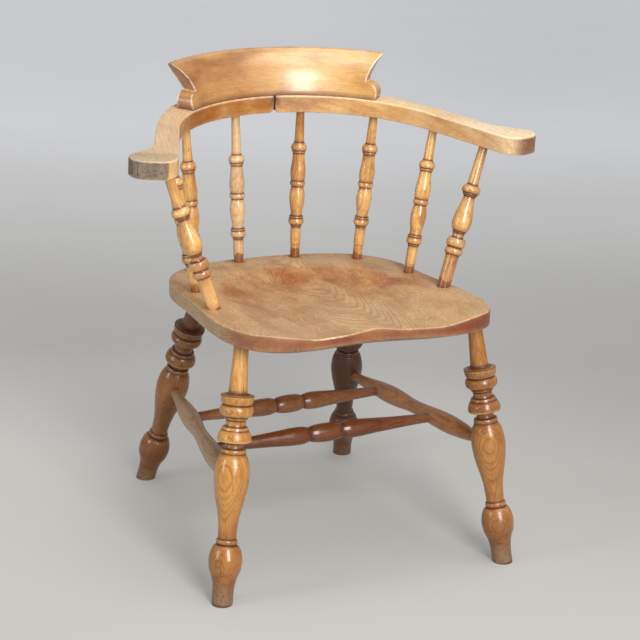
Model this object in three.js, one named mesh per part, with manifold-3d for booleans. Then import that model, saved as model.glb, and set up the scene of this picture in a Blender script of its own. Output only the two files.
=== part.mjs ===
// A captain's chair with a low bowed back: a thick dished seat on four splayed turned legs,
// a sawn arm bow in two halves on six spindles and two arm supports, and a coved crest rail.
// Millimetres, +Z up, the sitter looks along -Y, and +X is the sitter's left.
import * as THREE from 'three';
import { mergeVertices } from 'three/addons/utils/BufferGeometryUtils.js';
import Module from 'manifold-3d';

const wasm = await Module();
wasm.setup();

// Driving dimensions

const seatHeight = 444; // top of the seat rim above the floor, over the frame's X axis
const seatHalfWidth = 240; // at the front corners
const seatWaistHalfWidths = { left: 224, right: 231 }; // beside the sitter's hips, shaped by eye
const seatBackReach = 226;
const seatFrontReach = 297;
const seatThickness = 40;
const seatBand = 27; // height of the upright edge above the under-bevel
const seatBevelInset = 34;
const seatEdgeRound = 3;
const seatTilt = THREE.MathUtils.degToRad(-2.9);

const dishDepth = 13;
const dishHalfWidth = 192;
const dishBackReach = 158; // from the frame's X axis to the back end of the dish
const frontHollowDepth = 11;
const pommelHeight = 5;
const pommelHalfWidth = 30;
const frontBow = 19; // how far the middle of the front edge lies behind the seat's front reach

const frontLegSplay = 48; // how far a foot stands out sideways from the leg's top
const frontLegRake = 66; // and forwards
const backLegSplay = 54;
const backLegRake = 125;
const legRadius = 29.5; // at the belly of the vase turning
const legTenonRadius = 12.7;
const legTenonDepth = 21;

const bowHeight = 727; // top of the arm bow above the floor, over the frame's X axis
const bowThickness = 31;
const bowTilt = THREE.MathUtils.degToRad(2.7);
const bowInnerRadius = 247;
const bowCentreY = -44; // centre of the bow's round back
const bowBackWidth = 52;
const armWidth = 41;
const armLength = 208; // straight run of the arm, from the end of the round back
const armSplay = THREE.MathUtils.degToRad(20);
const handWidths = { left: 71, right: 81 }; // each hand is sawn by eye
const handLength = 76;
const handCornerRadius = 30;
const bowEdgeRound = 2;
const bowJointOffset = 7; // the butt joint lies a little to the sitter's left of the middle
const bowJointGap = 2.6;
const bowJointCornerRadius = 9;

const crestHeight = 76;
const crestBaseThickness = 33;
const crestTopThickness = 9;
const crestLean = 48; // how far the top arris lies behind the foot of the front face
const crestHalfAngle = THREE.MathUtils.degToRad(41);
const crestRollHeight = 27;
const crestNotchDepth = 8.5;
const crestRollReach = 13.5;
const crestTipReach = 8;
const crestDowelRadius = 4;
const crestDowelDepth = 11.5; // into each of the two pieces it joins

const spindleRadius = 14.6;
const spindleFootRadius = 8.4;
const spindleHeadRadius = 7.5;
const spindleTenonDepth = 13;
const spindleInset = 19.5; // spindle axis behind the bow's inner edge

const armSupportRadius = 17.2;
const armSupportFootRadius = 11.1;
const armSupportHeadRadius = 8.1;
const armSupportTenonDepth = 17;
const armSupportInset = 23; // from the arm's inner edge
const armSupportReach = 118; // along the arm's straight run

const sideStretcherRadius = 17;
const sideStretcherTenonRadius = 8.4;
const crossStretcherRadius = 16.6;
const crossStretcherTenonRadius = 8.2;
const stretcherTenonShortfall = 8; // tenon's end to the axis of the leg it enters
const crossTenonShortfall = 3;

const socketClearance = 0.3; // round and behind every tenon
const seatingGap = 0.3; // between pieces that lie on each other
const cutOverrun = 12; // how far a cutter runs out past the surface it opens

// Stations and turning patterns, as shares of the sizes that they follow

// The sitter's left, then right: along a leg from its foot, and along a side stretcher from the back leg.
const frontStretcherStationShares = [0.505, 0.48];
const backStretcherStationShares = [0.478, 0.5];
const backCrossShares = [0.268, 0.34];
const frontCrossShares = [0.645, 0.662];

// Seat sockets, as shares of the half width and of the reach to the back or front edge.
const frontLegSeatShare = [0.889, -0.717];
const backLegSeatShare = [0.621, 0.681];
const spindleSeatShares = [[0.845, 0.114], [0.66, 0.675], [0.23, 0.896]];
const armSupportSeatShare = [0.893, -0.302];
const spindleBowAngles = [69.6, 42.6, 13.7].map(THREE.MathUtils.degToRad);
const crestDowelAngles = [-27, -8, 8, 27].map(THREE.MathUtils.degToRad);

// The turned pattern's length against the gap from seat to bow. On each spindle it sits a little
// higher or lower.
const spindlePatternShare = 1.06;
const spindleShiftShares = { left: [0.014, 0.058, 0.052], right: [0.016, 0.021, -0.004] };

// Pairs of length share and radius share, from the foot up.
const legShares = [
  [0, 0.595], [0.06, 0.6], [0.09, 0.65], [0.113, 0.756], [0.141, 0.91], [0.174, 0.955],
  [0.205, 0.885], [0.232, 0.73], [0.2405, 0.56], [0.248, 0.605], [0.257, 0.59], [0.2625, 0.52],
  [0.325, 0.565], [0.375, 0.685], [0.42, 0.83], [0.461, 0.936], [0.51, 1],
  [0.55, 0.945], [0.577, 0.85], [0.6, 0.68], [0.6165, 0.655], [0.6225, 0.48], [0.6415, 0.475],
  [0.6455, 0.92], [0.6525, 0.95], [0.668, 0.935], [0.6815, 0.86], [0.693, 0.745], [0.7035, 0.7],
  [0.707, 0.56], [0.729, 0.56], [0.7355, 0.66], [0.7435, 0.67], [0.747, 0.8], [0.758, 0.925],
  [0.77, 0.95], [0.782, 0.9], [0.7895, 0.8], [0.794, 0.85], [0.808, 0.92], [0.8265, 0.94],
  [0.8365, 0.525],
];
const spindleShares = [
  [0.042, 0.575], [0.046, 0.64], [0.1665, 0.64], [0.169, 0.72], [0.178, 0.72], [0.1865, 0.93],
  [0.2, 0.97], [0.214, 0.92], [0.2375, 0.87], [0.2405, 0.72], [0.26, 0.71], [0.31, 0.85],
  [0.371, 0.96], [0.442, 0.77], [0.447, 0.85], [0.464, 0.95], [0.481, 0.86], [0.487, 0.85],
  [0.545, 0.945], [0.61, 0.8], [0.673, 0.745], [0.677, 0.83], [0.6925, 0.85], [0.703, 0.975],
  [0.716, 0.98], [0.748, 0.6],
];
const armSupportShares = [
  [0.2, 0.7], [0.224, 0.72], [0.2275, 0.83], [0.249, 0.92], [0.27, 0.8], [0.279, 0.86],
  [0.292, 0.95], [0.3085, 0.97], [0.328, 0.93], [0.3385, 0.86], [0.3425, 0.61], [0.366, 0.6],
  [0.388, 0.71], [0.424, 0.95], [0.457, 1], [0.5, 0.93], [0.56, 0.74], [0.628, 0.58],
  [0.633, 0.7], [0.652, 0.8], [0.66, 0.93], [0.679, 0.95], [0.696, 0.83], [0.713, 0.58],
];
const sideStretcherShares = [
  [0.12, 0.54], [0.2, 0.73], [0.27, 0.91], [0.34, 0.98], [0.42, 0.87], [0.5, 0.71],
  [0.58, 0.79], [0.66, 0.94], [0.74, 1], [0.82, 0.87], [0.88, 0.66],
];

// One half of a cross stretcher, from its middle to its end; the two halves are alike.
const crossStretcherHalfShares = [
  [0, 1], [0.07, 0.955], [0.115, 0.85], [0.14, 0.73], [0.165, 0.83], [0.21, 0.94],
  [0.28, 0.95], [0.4, 0.85], [0.55, 0.72], [0.7, 0.61], [0.85, 0.53],
];

const legSegments = 12;
const spindleSegments = 9;
const armSupportSegments = 10;
const stretcherSegments = 9;

// Materials

function wood(color, roughness) {
  return new THREE.MeshStandardMaterial({ color, roughness, metalness: 0 });
}

const finishes = {
  seat: () => wood(0xa98a63, 0.42),
  leg: () => wood(0xb37a3c, 0.4),
  stretcher: () => wood(0x80603f, 0.45),
  back: () => wood(0xd2a263, 0.35),
  dowel: () => wood(0xc9a878, 0.7),
};

const chair = new THREE.Group();
chair.name = 'captains_chair';

// Solids and placing

function manifoldOf(geometry, matrix) {
  const bare = geometry.clone();
  bare.deleteAttribute('normal');
  bare.deleteAttribute('uv');
  bare.applyMatrix4(matrix);
  const merged = mergeVertices(bare, seatingGap / 1000);
  const triVerts = Uint32Array.from(merged.index.array);
  if (matrix.determinant() < 0) triVerts.reverse();
  const vertProperties = Float32Array.from(merged.attributes.position.array);
  return new wasm.Manifold(new wasm.Mesh({ numProp: 3, vertProperties, triVerts }));
}

function geometryOf(manifold) {
  const mesh = manifold.getMesh();
  const geometry = new THREE.BufferGeometry();
  geometry.setAttribute('position', new THREE.BufferAttribute(mesh.vertProperties, 3));
  geometry.setIndex(new THREE.BufferAttribute(mesh.triVerts, 1));
  geometry.computeVertexNormals();
  return geometry;
}

function addPiece(name, geometry, finish, parent = chair) {
  const mesh = new THREE.Mesh(geometry, finishes[finish]());
  mesh.name = name;
  parent.add(mesh);
  return mesh;
}

// A frame whose +Z runs from one point towards another.
function axisMatrix(from, to) {
  const along = to.clone().sub(from).normalize();
  const turn = new THREE.Quaternion().setFromUnitVectors(new THREE.Vector3(0, 0, 1), along);
  return new THREE.Matrix4().compose(from, turn, new THREE.Vector3(1, 1, 1));
}

function placeAlong(mesh, from, to) {
  axisMatrix(from, to).decompose(mesh.position, mesh.quaternion, mesh.scale);
  return mesh;
}

function turnedGeometry(profile, segments) {
  const points = profile.map(([along, radius]) => new THREE.Vector2(radius, along));
  const first = points[0];
  const last = points[points.length - 1];
  const outline = [new THREE.Vector2(0, first.y), ...points, new THREE.Vector2(0, last.y)];
  return new THREE.LatheGeometry(outline, segments).rotateX(Math.PI / 2);
}

// Drills for the round sockets at the two ends of a turned piece, in line with its facets.
// Each stops a clearance past the tenon's end and runs out past the surface it enters.
function boreCutter(from, to, start, end, radius, segments) {
  const reach = [[start, radius + socketClearance], [end, radius + socketClearance]];
  return manifoldOf(turnedGeometry(reach, segments), axisMatrix(from, to));
}

function footBore(from, to, start, depth, radius, segments) {
  return boreCutter(from, to, start - socketClearance, start + depth + cutOverrun, radius, segments);
}

function headBore(from, to, end, depth, radius, segments) {
  return boreCutter(from, to, end - depth - cutOverrun, end + socketClearance, radius, segments);
}

// Cuts a placed piece with tools given in the chair's frame.
function cutPiece(mesh, cutters) {
  chair.updateMatrixWorld(true);
  const toLocal = mesh.matrixWorld.clone().invert();
  const elements = toLocal.elements;
  let solid = manifoldOf(mesh.geometry, new THREE.Matrix4());
  for (const cutter of cutters) solid = solid.subtract(cutter.transform(elements));
  mesh.geometry = geometryOf(solid);
}

function pointBetween(from, to, share) {
  return from.clone().lerp(to, share);
}

const sides = [['left', 1], ['right', -1]];

// Seat

const seatFrame = new THREE.Group();
seatFrame.position.z = seatHeight;
seatFrame.rotation.x = seatTilt;
chair.add(seatFrame);

const bowFrame = new THREE.Group();
bowFrame.position.z = bowHeight;
bowFrame.rotation.x = bowTilt;
chair.add(bowFrame);
chair.updateMatrixWorld(true);

function onSeat(x, y, depth = 0) {
  return new THREE.Vector3(x, y, -dishAt(x, y) - depth).applyMatrix4(seatFrame.matrixWorld);
}

function onBow(x, y, depth = 0) {
  return new THREE.Vector3(x, y, -depth).applyMatrix4(bowFrame.matrixWorld);
}

// The saddle: a broad hollow with a raised pommel between two scoops at the front edge.
function dishAt(x, y) {
  const across = x / dishHalfWidth;
  const behind = Math.max(0, y + dishBackReach / 4) / (dishBackReach * 1.25);
  const falloff = 1 - THREE.MathUtils.smoothstep(Math.hypot(across, behind), 0.52, 1);
  const frontness = THREE.MathUtils.smoothstep(-y, 0, seatFrontReach);
  const depth = THREE.MathUtils.lerp(dishDepth, frontHollowDepth, frontness);
  const pommel = pommelHeight * Math.exp(-((x / pommelHalfWidth) ** 2)) * frontness;
  return depth * falloff - pommel;
}

function seatHalfOutline(waist) {
  const edge = new THREE.Path();
  edge.moveTo(0, seatBackReach);
  edge.bezierCurveTo(seatBackReach * 0.6, seatBackReach, waist, seatBackReach * 0.84,
    waist, seatBackReach * 0.17);
  edge.bezierCurveTo(waist, -seatFrontReach * 0.12, seatHalfWidth, -seatFrontReach * 0.3,
    seatHalfWidth, -seatFrontReach * 0.55);
  edge.bezierCurveTo(seatHalfWidth, -seatFrontReach * 0.84, seatHalfWidth * 0.86, -seatFrontReach * 0.975,
    seatHalfWidth * 0.62, -seatFrontReach * 0.984);
  edge.bezierCurveTo(seatHalfWidth * 0.4, -seatFrontReach * 0.992, seatHalfWidth * 0.24,
    frontBow - seatFrontReach, 0, frontBow - seatFrontReach);
  return edge.getSpacedPoints(23);
}

function seatGeometry() {
  const left = seatHalfOutline(seatWaistHalfWidths.left);
  const right = seatHalfOutline(seatWaistHalfWidths.right).slice(1, -1);
  const outline = [...left, ...right.reverse().map((p) => new THREE.Vector2(-p.x, p.y))].reverse();
  const middleY = (seatBackReach - seatFrontReach) / 2;
  const roundShare = 1 - seatEdgeRound / seatHalfWidth;
  const bevelShare = 1 - seatBevelInset / seatHalfWidth;
  const rings = [];
  const ring = (share, heightAt) => rings.push(outline.map((p) => {
    const x = p.x * share;
    const y = middleY + (p.y - middleY) * share;
    return new THREE.Vector3(x, y, heightAt(x, y));
  }));
  ring(bevelShare, () => -seatThickness);
  ring(1, () => -seatBand);
  ring(1, (x, y) => -dishAt(x, y) - seatEdgeRound);
  for (const share of [roundShare, 0.93, 0.84, 0.74, 0.62, 0.48, 0.34, 0.18]) {
    ring(share, (x, y) => -dishAt(x, y));
  }
  const under = new THREE.Vector3(0, middleY, -seatThickness);
  const over = new THREE.Vector3(0, middleY, -dishAt(0, middleY));
  return loftGeometry(rings, under, over);
}

// Skins a stack of equal rings and closes both ends to a point.
function loftGeometry(rings, firstPole, lastPole) {
  const count = rings[0].length;
  const points = [...rings.flat(), firstPole, lastPole];
  const positions = points.flatMap((p) => [p.x, p.y, p.z]);
  const firstIndex = rings.length * count;
  const faces = [];
  for (let side = 0; side < count; side += 1) {
    const next = (side + 1) % count;
    faces.push(firstIndex, next, side);
    for (let level = 0; level + 1 < rings.length; level += 1) {
      const low = level * count;
      const high = low + count;
      faces.push(low + side, low + next, high + next, low + side, high + next, high + side);
    }
    const top = (rings.length - 1) * count;
    faces.push(top + side, top + next, firstIndex + 1);
  }
  const geometry = new THREE.BufferGeometry();
  geometry.setAttribute('position', new THREE.Float32BufferAttribute(positions, 3));
  geometry.setIndex(faces);
  geometry.computeVertexNormals();
  return geometry;
}

const seat = addPiece('seat', seatGeometry(), 'seat', seatFrame);
const seatCutters = [];

// Legs, levelled at the floor after they are set in the seat

function legEnds(sideSign, isFront) {
  const [wideShare, reachShare] = isFront ? frontLegSeatShare : backLegSeatShare;
  const x = sideSign * wideShare * seatHalfWidth;
  const y = reachShare * (isFront ? seatFrontReach : seatBackReach);
  const footX = x + sideSign * (isFront ? frontLegSplay : backLegSplay);
  const footY = y + (isFront ? -frontLegRake : backLegRake);
  const foot = new THREE.Vector3(footX, footY, 0);
  const top = new THREE.Vector3(x, y, -seatThickness);
  return { foot, top: top.applyMatrix4(seatFrame.matrixWorld) };
}

function legGeometry(length) {
  const turned = legShares.map(([along, wide]) => [along * length, wide * legRadius]);
  const toe = [-cutOverrun, legShares[0][1] * legRadius];
  const neck = [length - cutOverrun, legTenonRadius];
  const tenonEnd = [length + legTenonDepth, legTenonRadius];
  return turnedGeometry([toe, ...turned, neck, tenonEnd], legSegments);
}

const floorSize = 4 * seatHeight;
const belowFloor = new THREE.BoxGeometry(floorSize, floorSize, seatHeight);
const floorCutter = manifoldOf(belowFloor, new THREE.Matrix4().makeTranslation(0, 0, -seatHeight / 2));

const legs = {};
for (const [side, sign] of sides) {
  for (const end of ['front', 'back']) {
    const { foot, top } = legEnds(sign, end === 'front');
    const length = foot.distanceTo(top);
    const leg = addPiece(`${end}_${side}_leg`, legGeometry(length), 'leg');
    placeAlong(leg, foot, top);
    legs[`${end}_${side}`] = { mesh: leg, foot, top, cutters: [floorCutter] };
    seatCutters.push(headBore(foot, top, length + legTenonDepth, legTenonDepth, legTenonRadius, legSegments));
  }
}

// Stretchers: one each side from leg to leg, and two across between the side ones

function stretcherGeometry(profile, tenonRadius, length, shortfall) {
  const tenonLength = profile[0][0] * 0.75;
  const ends = [[shortfall, tenonRadius], [tenonLength, tenonRadius]];
  const farEnds = [[length - tenonLength, tenonRadius], [length - shortfall, tenonRadius]];
  return turnedGeometry([...ends, ...profile, ...farEnds], stretcherSegments);
}

const sideStretchers = {};
sides.forEach(([side], index) => {
  const backLeg = legs[`back_${side}`];
  const frontLeg = legs[`front_${side}`];
  const from = pointBetween(backLeg.foot, backLeg.top, backStretcherStationShares[index]);
  const to = pointBetween(frontLeg.foot, frontLeg.top, frontStretcherStationShares[index]);
  const length = from.distanceTo(to);
  const profile = sideStretcherShares.map(([along, wide]) => [along * length, wide * sideStretcherRadius]);
  const geometry = stretcherGeometry(profile, sideStretcherTenonRadius, length, stretcherTenonShortfall);
  const mesh = placeAlong(addPiece(`${side}_stretcher`, geometry, 'stretcher'), from, to);
  sideStretchers[side] = { mesh, from, to, cutters: [] };
  const tenon = [legRadius, sideStretcherTenonRadius, stretcherSegments];
  backLeg.cutters.push(footBore(from, to, stretcherTenonShortfall, ...tenon));
  frontLeg.cutters.push(headBore(from, to, length - stretcherTenonShortfall, ...tenon));
});

function crossStretcher(name, shares) {
  const { left, right } = sideStretchers;
  const [leftShare, rightShare] = shares;
  const from = pointBetween(right.from, right.to, rightShare);
  const to = pointBetween(left.from, left.to, leftShare);
  const half = from.distanceTo(to) / 2;
  const outward = crossStretcherHalfShares.map(([along, wide]) => [along * half, wide * crossStretcherRadius]);
  const inward = outward.slice(1).reverse().map(([along, radius]) => [half - along, radius]);
  const profile = [...inward, ...outward.map(([along, radius]) => [half + along, radius])];
  const geometry = stretcherGeometry(profile, crossStretcherTenonRadius, 2 * half, crossTenonShortfall);
  placeAlong(addPiece(name, geometry, 'stretcher'), from, to);
  const tenon = [sideStretcherRadius, crossStretcherTenonRadius, stretcherSegments];
  right.cutters.push(footBore(from, to, crossTenonShortfall, ...tenon));
  left.cutters.push(headBore(from, to, 2 * half - crossTenonShortfall, ...tenon));
}

crossStretcher('back_cross_stretcher', backCrossShares);
crossStretcher('front_cross_stretcher', frontCrossShares);
for (const leg of Object.values(legs)) cutPiece(leg.mesh, leg.cutters);
for (const stretcher of Object.values(sideStretchers)) cutPiece(stretcher.mesh, stretcher.cutters);

// Arm bow: two sawn halves that meet in a butt joint behind the sitter

const armStart = new THREE.Vector2(Math.cos(armSplay), Math.sin(armSplay))
  .multiplyScalar(bowInnerRadius).add(new THREE.Vector2(0, bowCentreY));

// A point of the arm, from its distance along the inner edge and out from that edge.
function armPoint(along, out) {
  const x = armStart.x + along * Math.sin(armSplay) + out * Math.cos(armSplay);
  const y = armStart.y - along * Math.cos(armSplay) + out * Math.sin(armSplay);
  return new THREE.Vector2(x, y);
}

function bowHalfOutline(jointX, handWidth) {
  const outline = new THREE.Shape();
  const outerRadius = bowInnerRadius + bowBackWidth;
  const innerJointAngle = Math.acos(jointX / bowInnerRadius);
  const outerJointAngle = Math.acos(jointX / outerRadius);
  const outerEndAngle = THREE.MathUtils.degToRad(52);
  outline.absarc(0, bowCentreY, bowInnerRadius, innerJointAngle, armSplay, true);
  const innerEnd = armPoint(armLength - handCornerRadius * 1.5, 0);
  outline.lineTo(innerEnd.x, innerEnd.y);
  const curveThrough = (...points) => {
    const [a, b, c] = points.map(([along, out]) => armPoint(along, out));
    outline.bezierCurveTo(a.x, a.y, b.x, b.y, c.x, c.y);
  };
  const handBack = armLength - handLength;
  const handFront = armLength - handCornerRadius;
  const corner = handCornerRadius;
  curveThrough([armLength - corner * 0.7, 0], [armLength, corner * 0.3], [armLength, corner * 1.1]);
  const face = armPoint(armLength, handWidth - corner);
  outline.lineTo(face.x, face.y);
  curveThrough([armLength, handWidth - corner * 0.3], [handFront + corner * 0.3, handWidth],
    [handFront, handWidth]);
  curveThrough([handFront - corner * 0.7, handWidth], [handBack + corner * 0.3, armWidth + corner * 0.1],
    [handBack - corner, armWidth]);
  const outerEnd = new THREE.Vector2(Math.cos(outerEndAngle), Math.sin(outerEndAngle))
    .multiplyScalar(outerRadius).add(new THREE.Vector2(0, bowCentreY));
  const shoulder = armPoint(-armWidth, armWidth * 0.98);
  outline.bezierCurveTo(shoulder.x, shoulder.y,
    outerEnd.x + bowBackWidth * Math.sin(outerEndAngle), outerEnd.y - bowBackWidth * Math.cos(outerEndAngle),
    outerEnd.x, outerEnd.y);
  outline.absarc(0, bowCentreY, outerRadius, outerEndAngle, outerJointAngle, false);
  outline.closePath();
  return outline;
}

function bowHalfGeometry(jointX, sign, handWidth) {
  const round = bowEdgeRound;
  const outline = bowHalfOutline(jointX, handWidth);
  const geometry = new THREE.ExtrudeGeometry(outline, {
    depth: bowThickness - 2 * round, bevelEnabled: true, bevelThickness: round, bevelSize: round,
    bevelOffset: -round, bevelSegments: 1, curveSegments: 9,
  });
  geometry.translate(0, 0, round - bowThickness);
  const flip = new THREE.Matrix4().makeScale(sign, 1, 1);
  const solid = manifoldOf(geometry, flip);
  return geometryOf(solid.subtract(jointCornerCutter(sign * jointX, sign)));
}

// Takes the sharp lower corner off the end of a bow half.
function jointCornerCutter(x, sign) {
  const r = bowJointCornerRadius;
  const corner = new THREE.Shape();
  corner.moveTo(-cutOverrun, -cutOverrun);
  corner.lineTo(r, -cutOverrun);
  corner.lineTo(r, 0);
  corner.absarc(r, r, r, -Math.PI / 2, -Math.PI, true);
  corner.lineTo(-cutOverrun, r);
  corner.closePath();
  const length = bowBackWidth + 2 * cutOverrun;
  const prism = new THREE.ExtrudeGeometry(corner, { depth: length, bevelEnabled: false, curveSegments: 5 });
  prism.rotateX(Math.PI / 2);
  const backY = bowCentreY + bowInnerRadius + bowBackWidth + cutOverrun;
  const place = new THREE.Matrix4().makeTranslation(x, backY, -bowThickness)
    .multiply(new THREE.Matrix4().makeScale(sign, 1, 1));
  return manifoldOf(prism, place);
}

const arms = {};
for (const [side, sign] of sides) {
  const jointX = sign * bowJointOffset + bowJointGap / 2;
  const mesh = addPiece(`${side}_arm`, bowHalfGeometry(jointX, sign, handWidths[side]), 'back', bowFrame);
  arms[side] = { mesh, cutters: [] };
}

// Spindles and arm supports

function uprightGeometry(pattern, foot, head, segments) {
  const ends = [[-foot.depth, foot.radius], [pattern[0][0] - foot.rise, foot.radius]];
  const heads = [[head.length - head.drop, head.radius], [head.length + head.depth, head.radius]];
  return turnedGeometry([...ends, ...pattern, ...heads], segments);
}

function addUpright(name, side, base, top, turning) {
  const length = base.distanceTo(top);
  const shift = turning.shiftShare * turning.patternLength;
  const pattern = turning.shares.map(([along, wide]) => [along * turning.patternLength + shift,
    wide * turning.radius]);
  const foot = { depth: turning.depth, radius: turning.footRadius, rise: turning.footRadius / 8 };
  const head = { depth: turning.depth, radius: turning.headRadius, length, drop: cutOverrun };
  const mesh = addPiece(name, uprightGeometry(pattern, foot, head, turning.segments), 'back');
  placeAlong(mesh, base, top);
  seatCutters.push(footBore(base, top, -turning.depth, turning.depth, turning.footRadius, turning.segments));
  arms[side].cutters.push(headBore(base, top, length + turning.depth, turning.depth, turning.headRadius,
    turning.segments));
}

const spindleNames = ['outer', 'middle', 'inner'];
const spindlePatternLength = (bowHeight - bowThickness - seatHeight) * spindlePatternShare;
for (const [side, sign] of sides) {
  spindleNames.forEach((place, index) => {
    const [wideShare, backShare] = spindleSeatShares[index];
    const base = onSeat(sign * wideShare * seatHalfWidth, backShare * seatBackReach);
    const angle = spindleBowAngles[index];
    const radius = bowInnerRadius + spindleInset;
    const top = onBow(sign * radius * Math.sin(angle), bowCentreY + radius * Math.cos(angle), bowThickness);
    addUpright(`${side}_${place}_spindle`, side, base, top, {
      shares: spindleShares, patternLength: spindlePatternLength, radius: spindleRadius,
      shiftShare: spindleShiftShares[side][index], depth: spindleTenonDepth,
      footRadius: spindleFootRadius, headRadius: spindleHeadRadius, segments: spindleSegments,
    });
  });
  const [wideShare, frontShare] = armSupportSeatShare;
  const base = onSeat(sign * wideShare * seatHalfWidth, frontShare * seatFrontReach);
  const spot = armPoint(armSupportReach, armSupportInset);
  const top = onBow(sign * spot.x, spot.y, bowThickness);
  addUpright(`${side}_arm_support`, side, base, top, {
    shares: armSupportShares, patternLength: base.distanceTo(top), radius: armSupportRadius,
    shiftShare: 0, depth: armSupportTenonDepth, footRadius: armSupportFootRadius,
    headRadius: armSupportHeadRadius, segments: armSupportSegments,
  });
}
cutPiece(seat, seatCutters);

// Crest rail: coved section swept round the bow's centre, its ends cut to a swoop over a roll

function crestSection() {
  const foot = bowInnerRadius + bowEdgeRound;
  const rise = seatingGap;
  const section = new THREE.Shape();
  const top = rise + crestHeight;
  const frontTop = foot + crestLean;
  const backTop = frontTop + crestTopThickness;
  section.moveTo(foot, rise);
  section.lineTo(foot, rise + crestRollHeight);
  section.bezierCurveTo(foot, top - crestHeight * 0.42, foot + crestLean * 0.45, top - crestHeight * 0.16,
    frontTop, top - bowEdgeRound);
  section.lineTo(frontTop + crestTopThickness / 3, top);
  section.lineTo(backTop - crestTopThickness / 3, top);
  section.lineTo(backTop, top - crestTopThickness / 2);
  section.bezierCurveTo(backTop - crestLean * 0.2, top - crestHeight * 0.4,
    foot + crestBaseThickness, rise + crestRollHeight * 1.3, foot + crestBaseThickness, rise + crestRollHeight);
  section.lineTo(foot + crestBaseThickness, rise);
  section.closePath();
  return section.extractPoints(5).shape;
}

// Sweeps a closed section, given as distance out and height, round a vertical axis.
function arcSweepGeometry(section, centreY, halfAngle, steps) {
  const outline = THREE.ShapeUtils.isClockWise(section) ? section.slice().reverse() : section;
  const caps = THREE.ShapeUtils.triangulateShape(outline, []);
  const count = outline.length;
  const positions = [];
  for (let step = 0; step <= steps; step += 1) {
    const angle = THREE.MathUtils.lerp(-halfAngle, halfAngle, step / steps);
    for (const p of outline) {
      positions.push(p.x * Math.sin(angle), centreY + p.x * Math.cos(angle), p.y);
    }
  }
  const faces = [];
  for (let step = 0; step < steps; step += 1) {
    for (let side = 0; side < count; side += 1) {
      const a = step * count + side;
      const b = step * count + (side + 1) % count;
      faces.push(a, b, a + count, b, b + count, a + count);
    }
  }
  for (const [a, b, c] of caps) {
    faces.push(a, c, b);
    faces.push(steps * count + a, steps * count + b, steps * count + c);
  }
  const geometry = new THREE.BufferGeometry();
  geometry.setAttribute('position', new THREE.Float32BufferAttribute(positions, 3));
  geometry.setIndex(faces);
  return geometry;
}

// Everything past the profile of one crest end, as a prism that runs straight out through the rail.
function crestEndCutter(sign) {
  const beyond = bowInnerRadius;
  const top = seatingGap + crestHeight;
  const roll = seatingGap + crestRollHeight;
  const profile = new THREE.Shape();
  profile.moveTo(beyond, -cutOverrun);
  profile.lineTo(beyond, top + cutOverrun);
  profile.lineTo(crestTipReach + cutOverrun / 2, top + cutOverrun);
  profile.lineTo(crestTipReach, top - bowEdgeRound);
  profile.bezierCurveTo(0, top - crestHeight * 0.16, -crestNotchDepth, top - crestHeight * 0.4,
    -crestNotchDepth, roll);
  profile.bezierCurveTo(crestRollReach * 0.2, roll + bowEdgeRound, crestRollReach, roll * 0.86,
    crestRollReach, roll * 0.38);
  profile.lineTo(crestRollReach - bowEdgeRound, seatingGap);
  profile.lineTo(crestRollReach - bowEdgeRound, -cutOverrun);
  profile.closePath();
  const depth = bowBackWidth + crestLean + 2 * cutOverrun;
  const prism = new THREE.ExtrudeGeometry(profile, { depth, bevelEnabled: false, curveSegments: 7 });
  prism.rotateX(Math.PI / 2);
  prism.translate(0, bowInnerRadius - cutOverrun + depth, 0);
  const place = new THREE.Matrix4().makeTranslation(0, bowCentreY, 0)
    .multiply(new THREE.Matrix4().makeScale(sign, 1, 1))
    .multiply(new THREE.Matrix4().makeRotationZ(-crestHalfAngle));
  return manifoldOf(prism, place);
}

const crestSweepAngle = crestHalfAngle + 2 * crestRollReach / bowInnerRadius;
const crestBlank = arcSweepGeometry(crestSection(), bowCentreY, crestSweepAngle, 14);
let crestSolid = manifoldOf(crestBlank, new THREE.Matrix4());
for (const [, sign] of sides) crestSolid = crestSolid.subtract(crestEndCutter(sign));
const crest = addPiece('crest_rail', geometryOf(crestSolid), 'back', bowFrame);
const crestCutters = [];

crestDowelAngles.forEach((angle, index) => {
  const radius = bowInnerRadius + bowEdgeRound + crestBaseThickness / 2;
  const x = radius * Math.sin(angle);
  const y = bowCentreY + radius * Math.cos(angle);
  const low = onBow(x, y, crestDowelDepth);
  const high = onBow(x, y, -crestDowelDepth);
  const profile = [[0, crestDowelRadius], [2 * crestDowelDepth, crestDowelRadius]];
  placeAlong(addPiece(`crest_dowel_${index + 1}`, turnedGeometry(profile, stretcherSegments), 'dowel'), low, high);
  const host = arms[x > bowJointOffset ? 'left' : 'right'];
  const dowel = [crestDowelDepth, crestDowelRadius, stretcherSegments];
  host.cutters.push(footBore(low, high, 0, ...dowel));
  crestCutters.push(headBore(low, high, 2 * crestDowelDepth, ...dowel));
});
cutPiece(crest, crestCutters);
for (const arm of Object.values(arms)) cutPiece(arm.mesh, arm.cutters);

// The frame's origin is the middle of the chair's box on the floor.
chair.updateMatrixWorld(true);
const reach = new THREE.Box3().setFromObject(chair, true);
const middle = reach.getCenter(new THREE.Vector3());
chair.position.set(-middle.x, -middle.y, 0);

export default chair;
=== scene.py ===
import bpy
import bmesh
import math
import random
from mathutils import Matrix, Vector, geometry, noise


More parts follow.
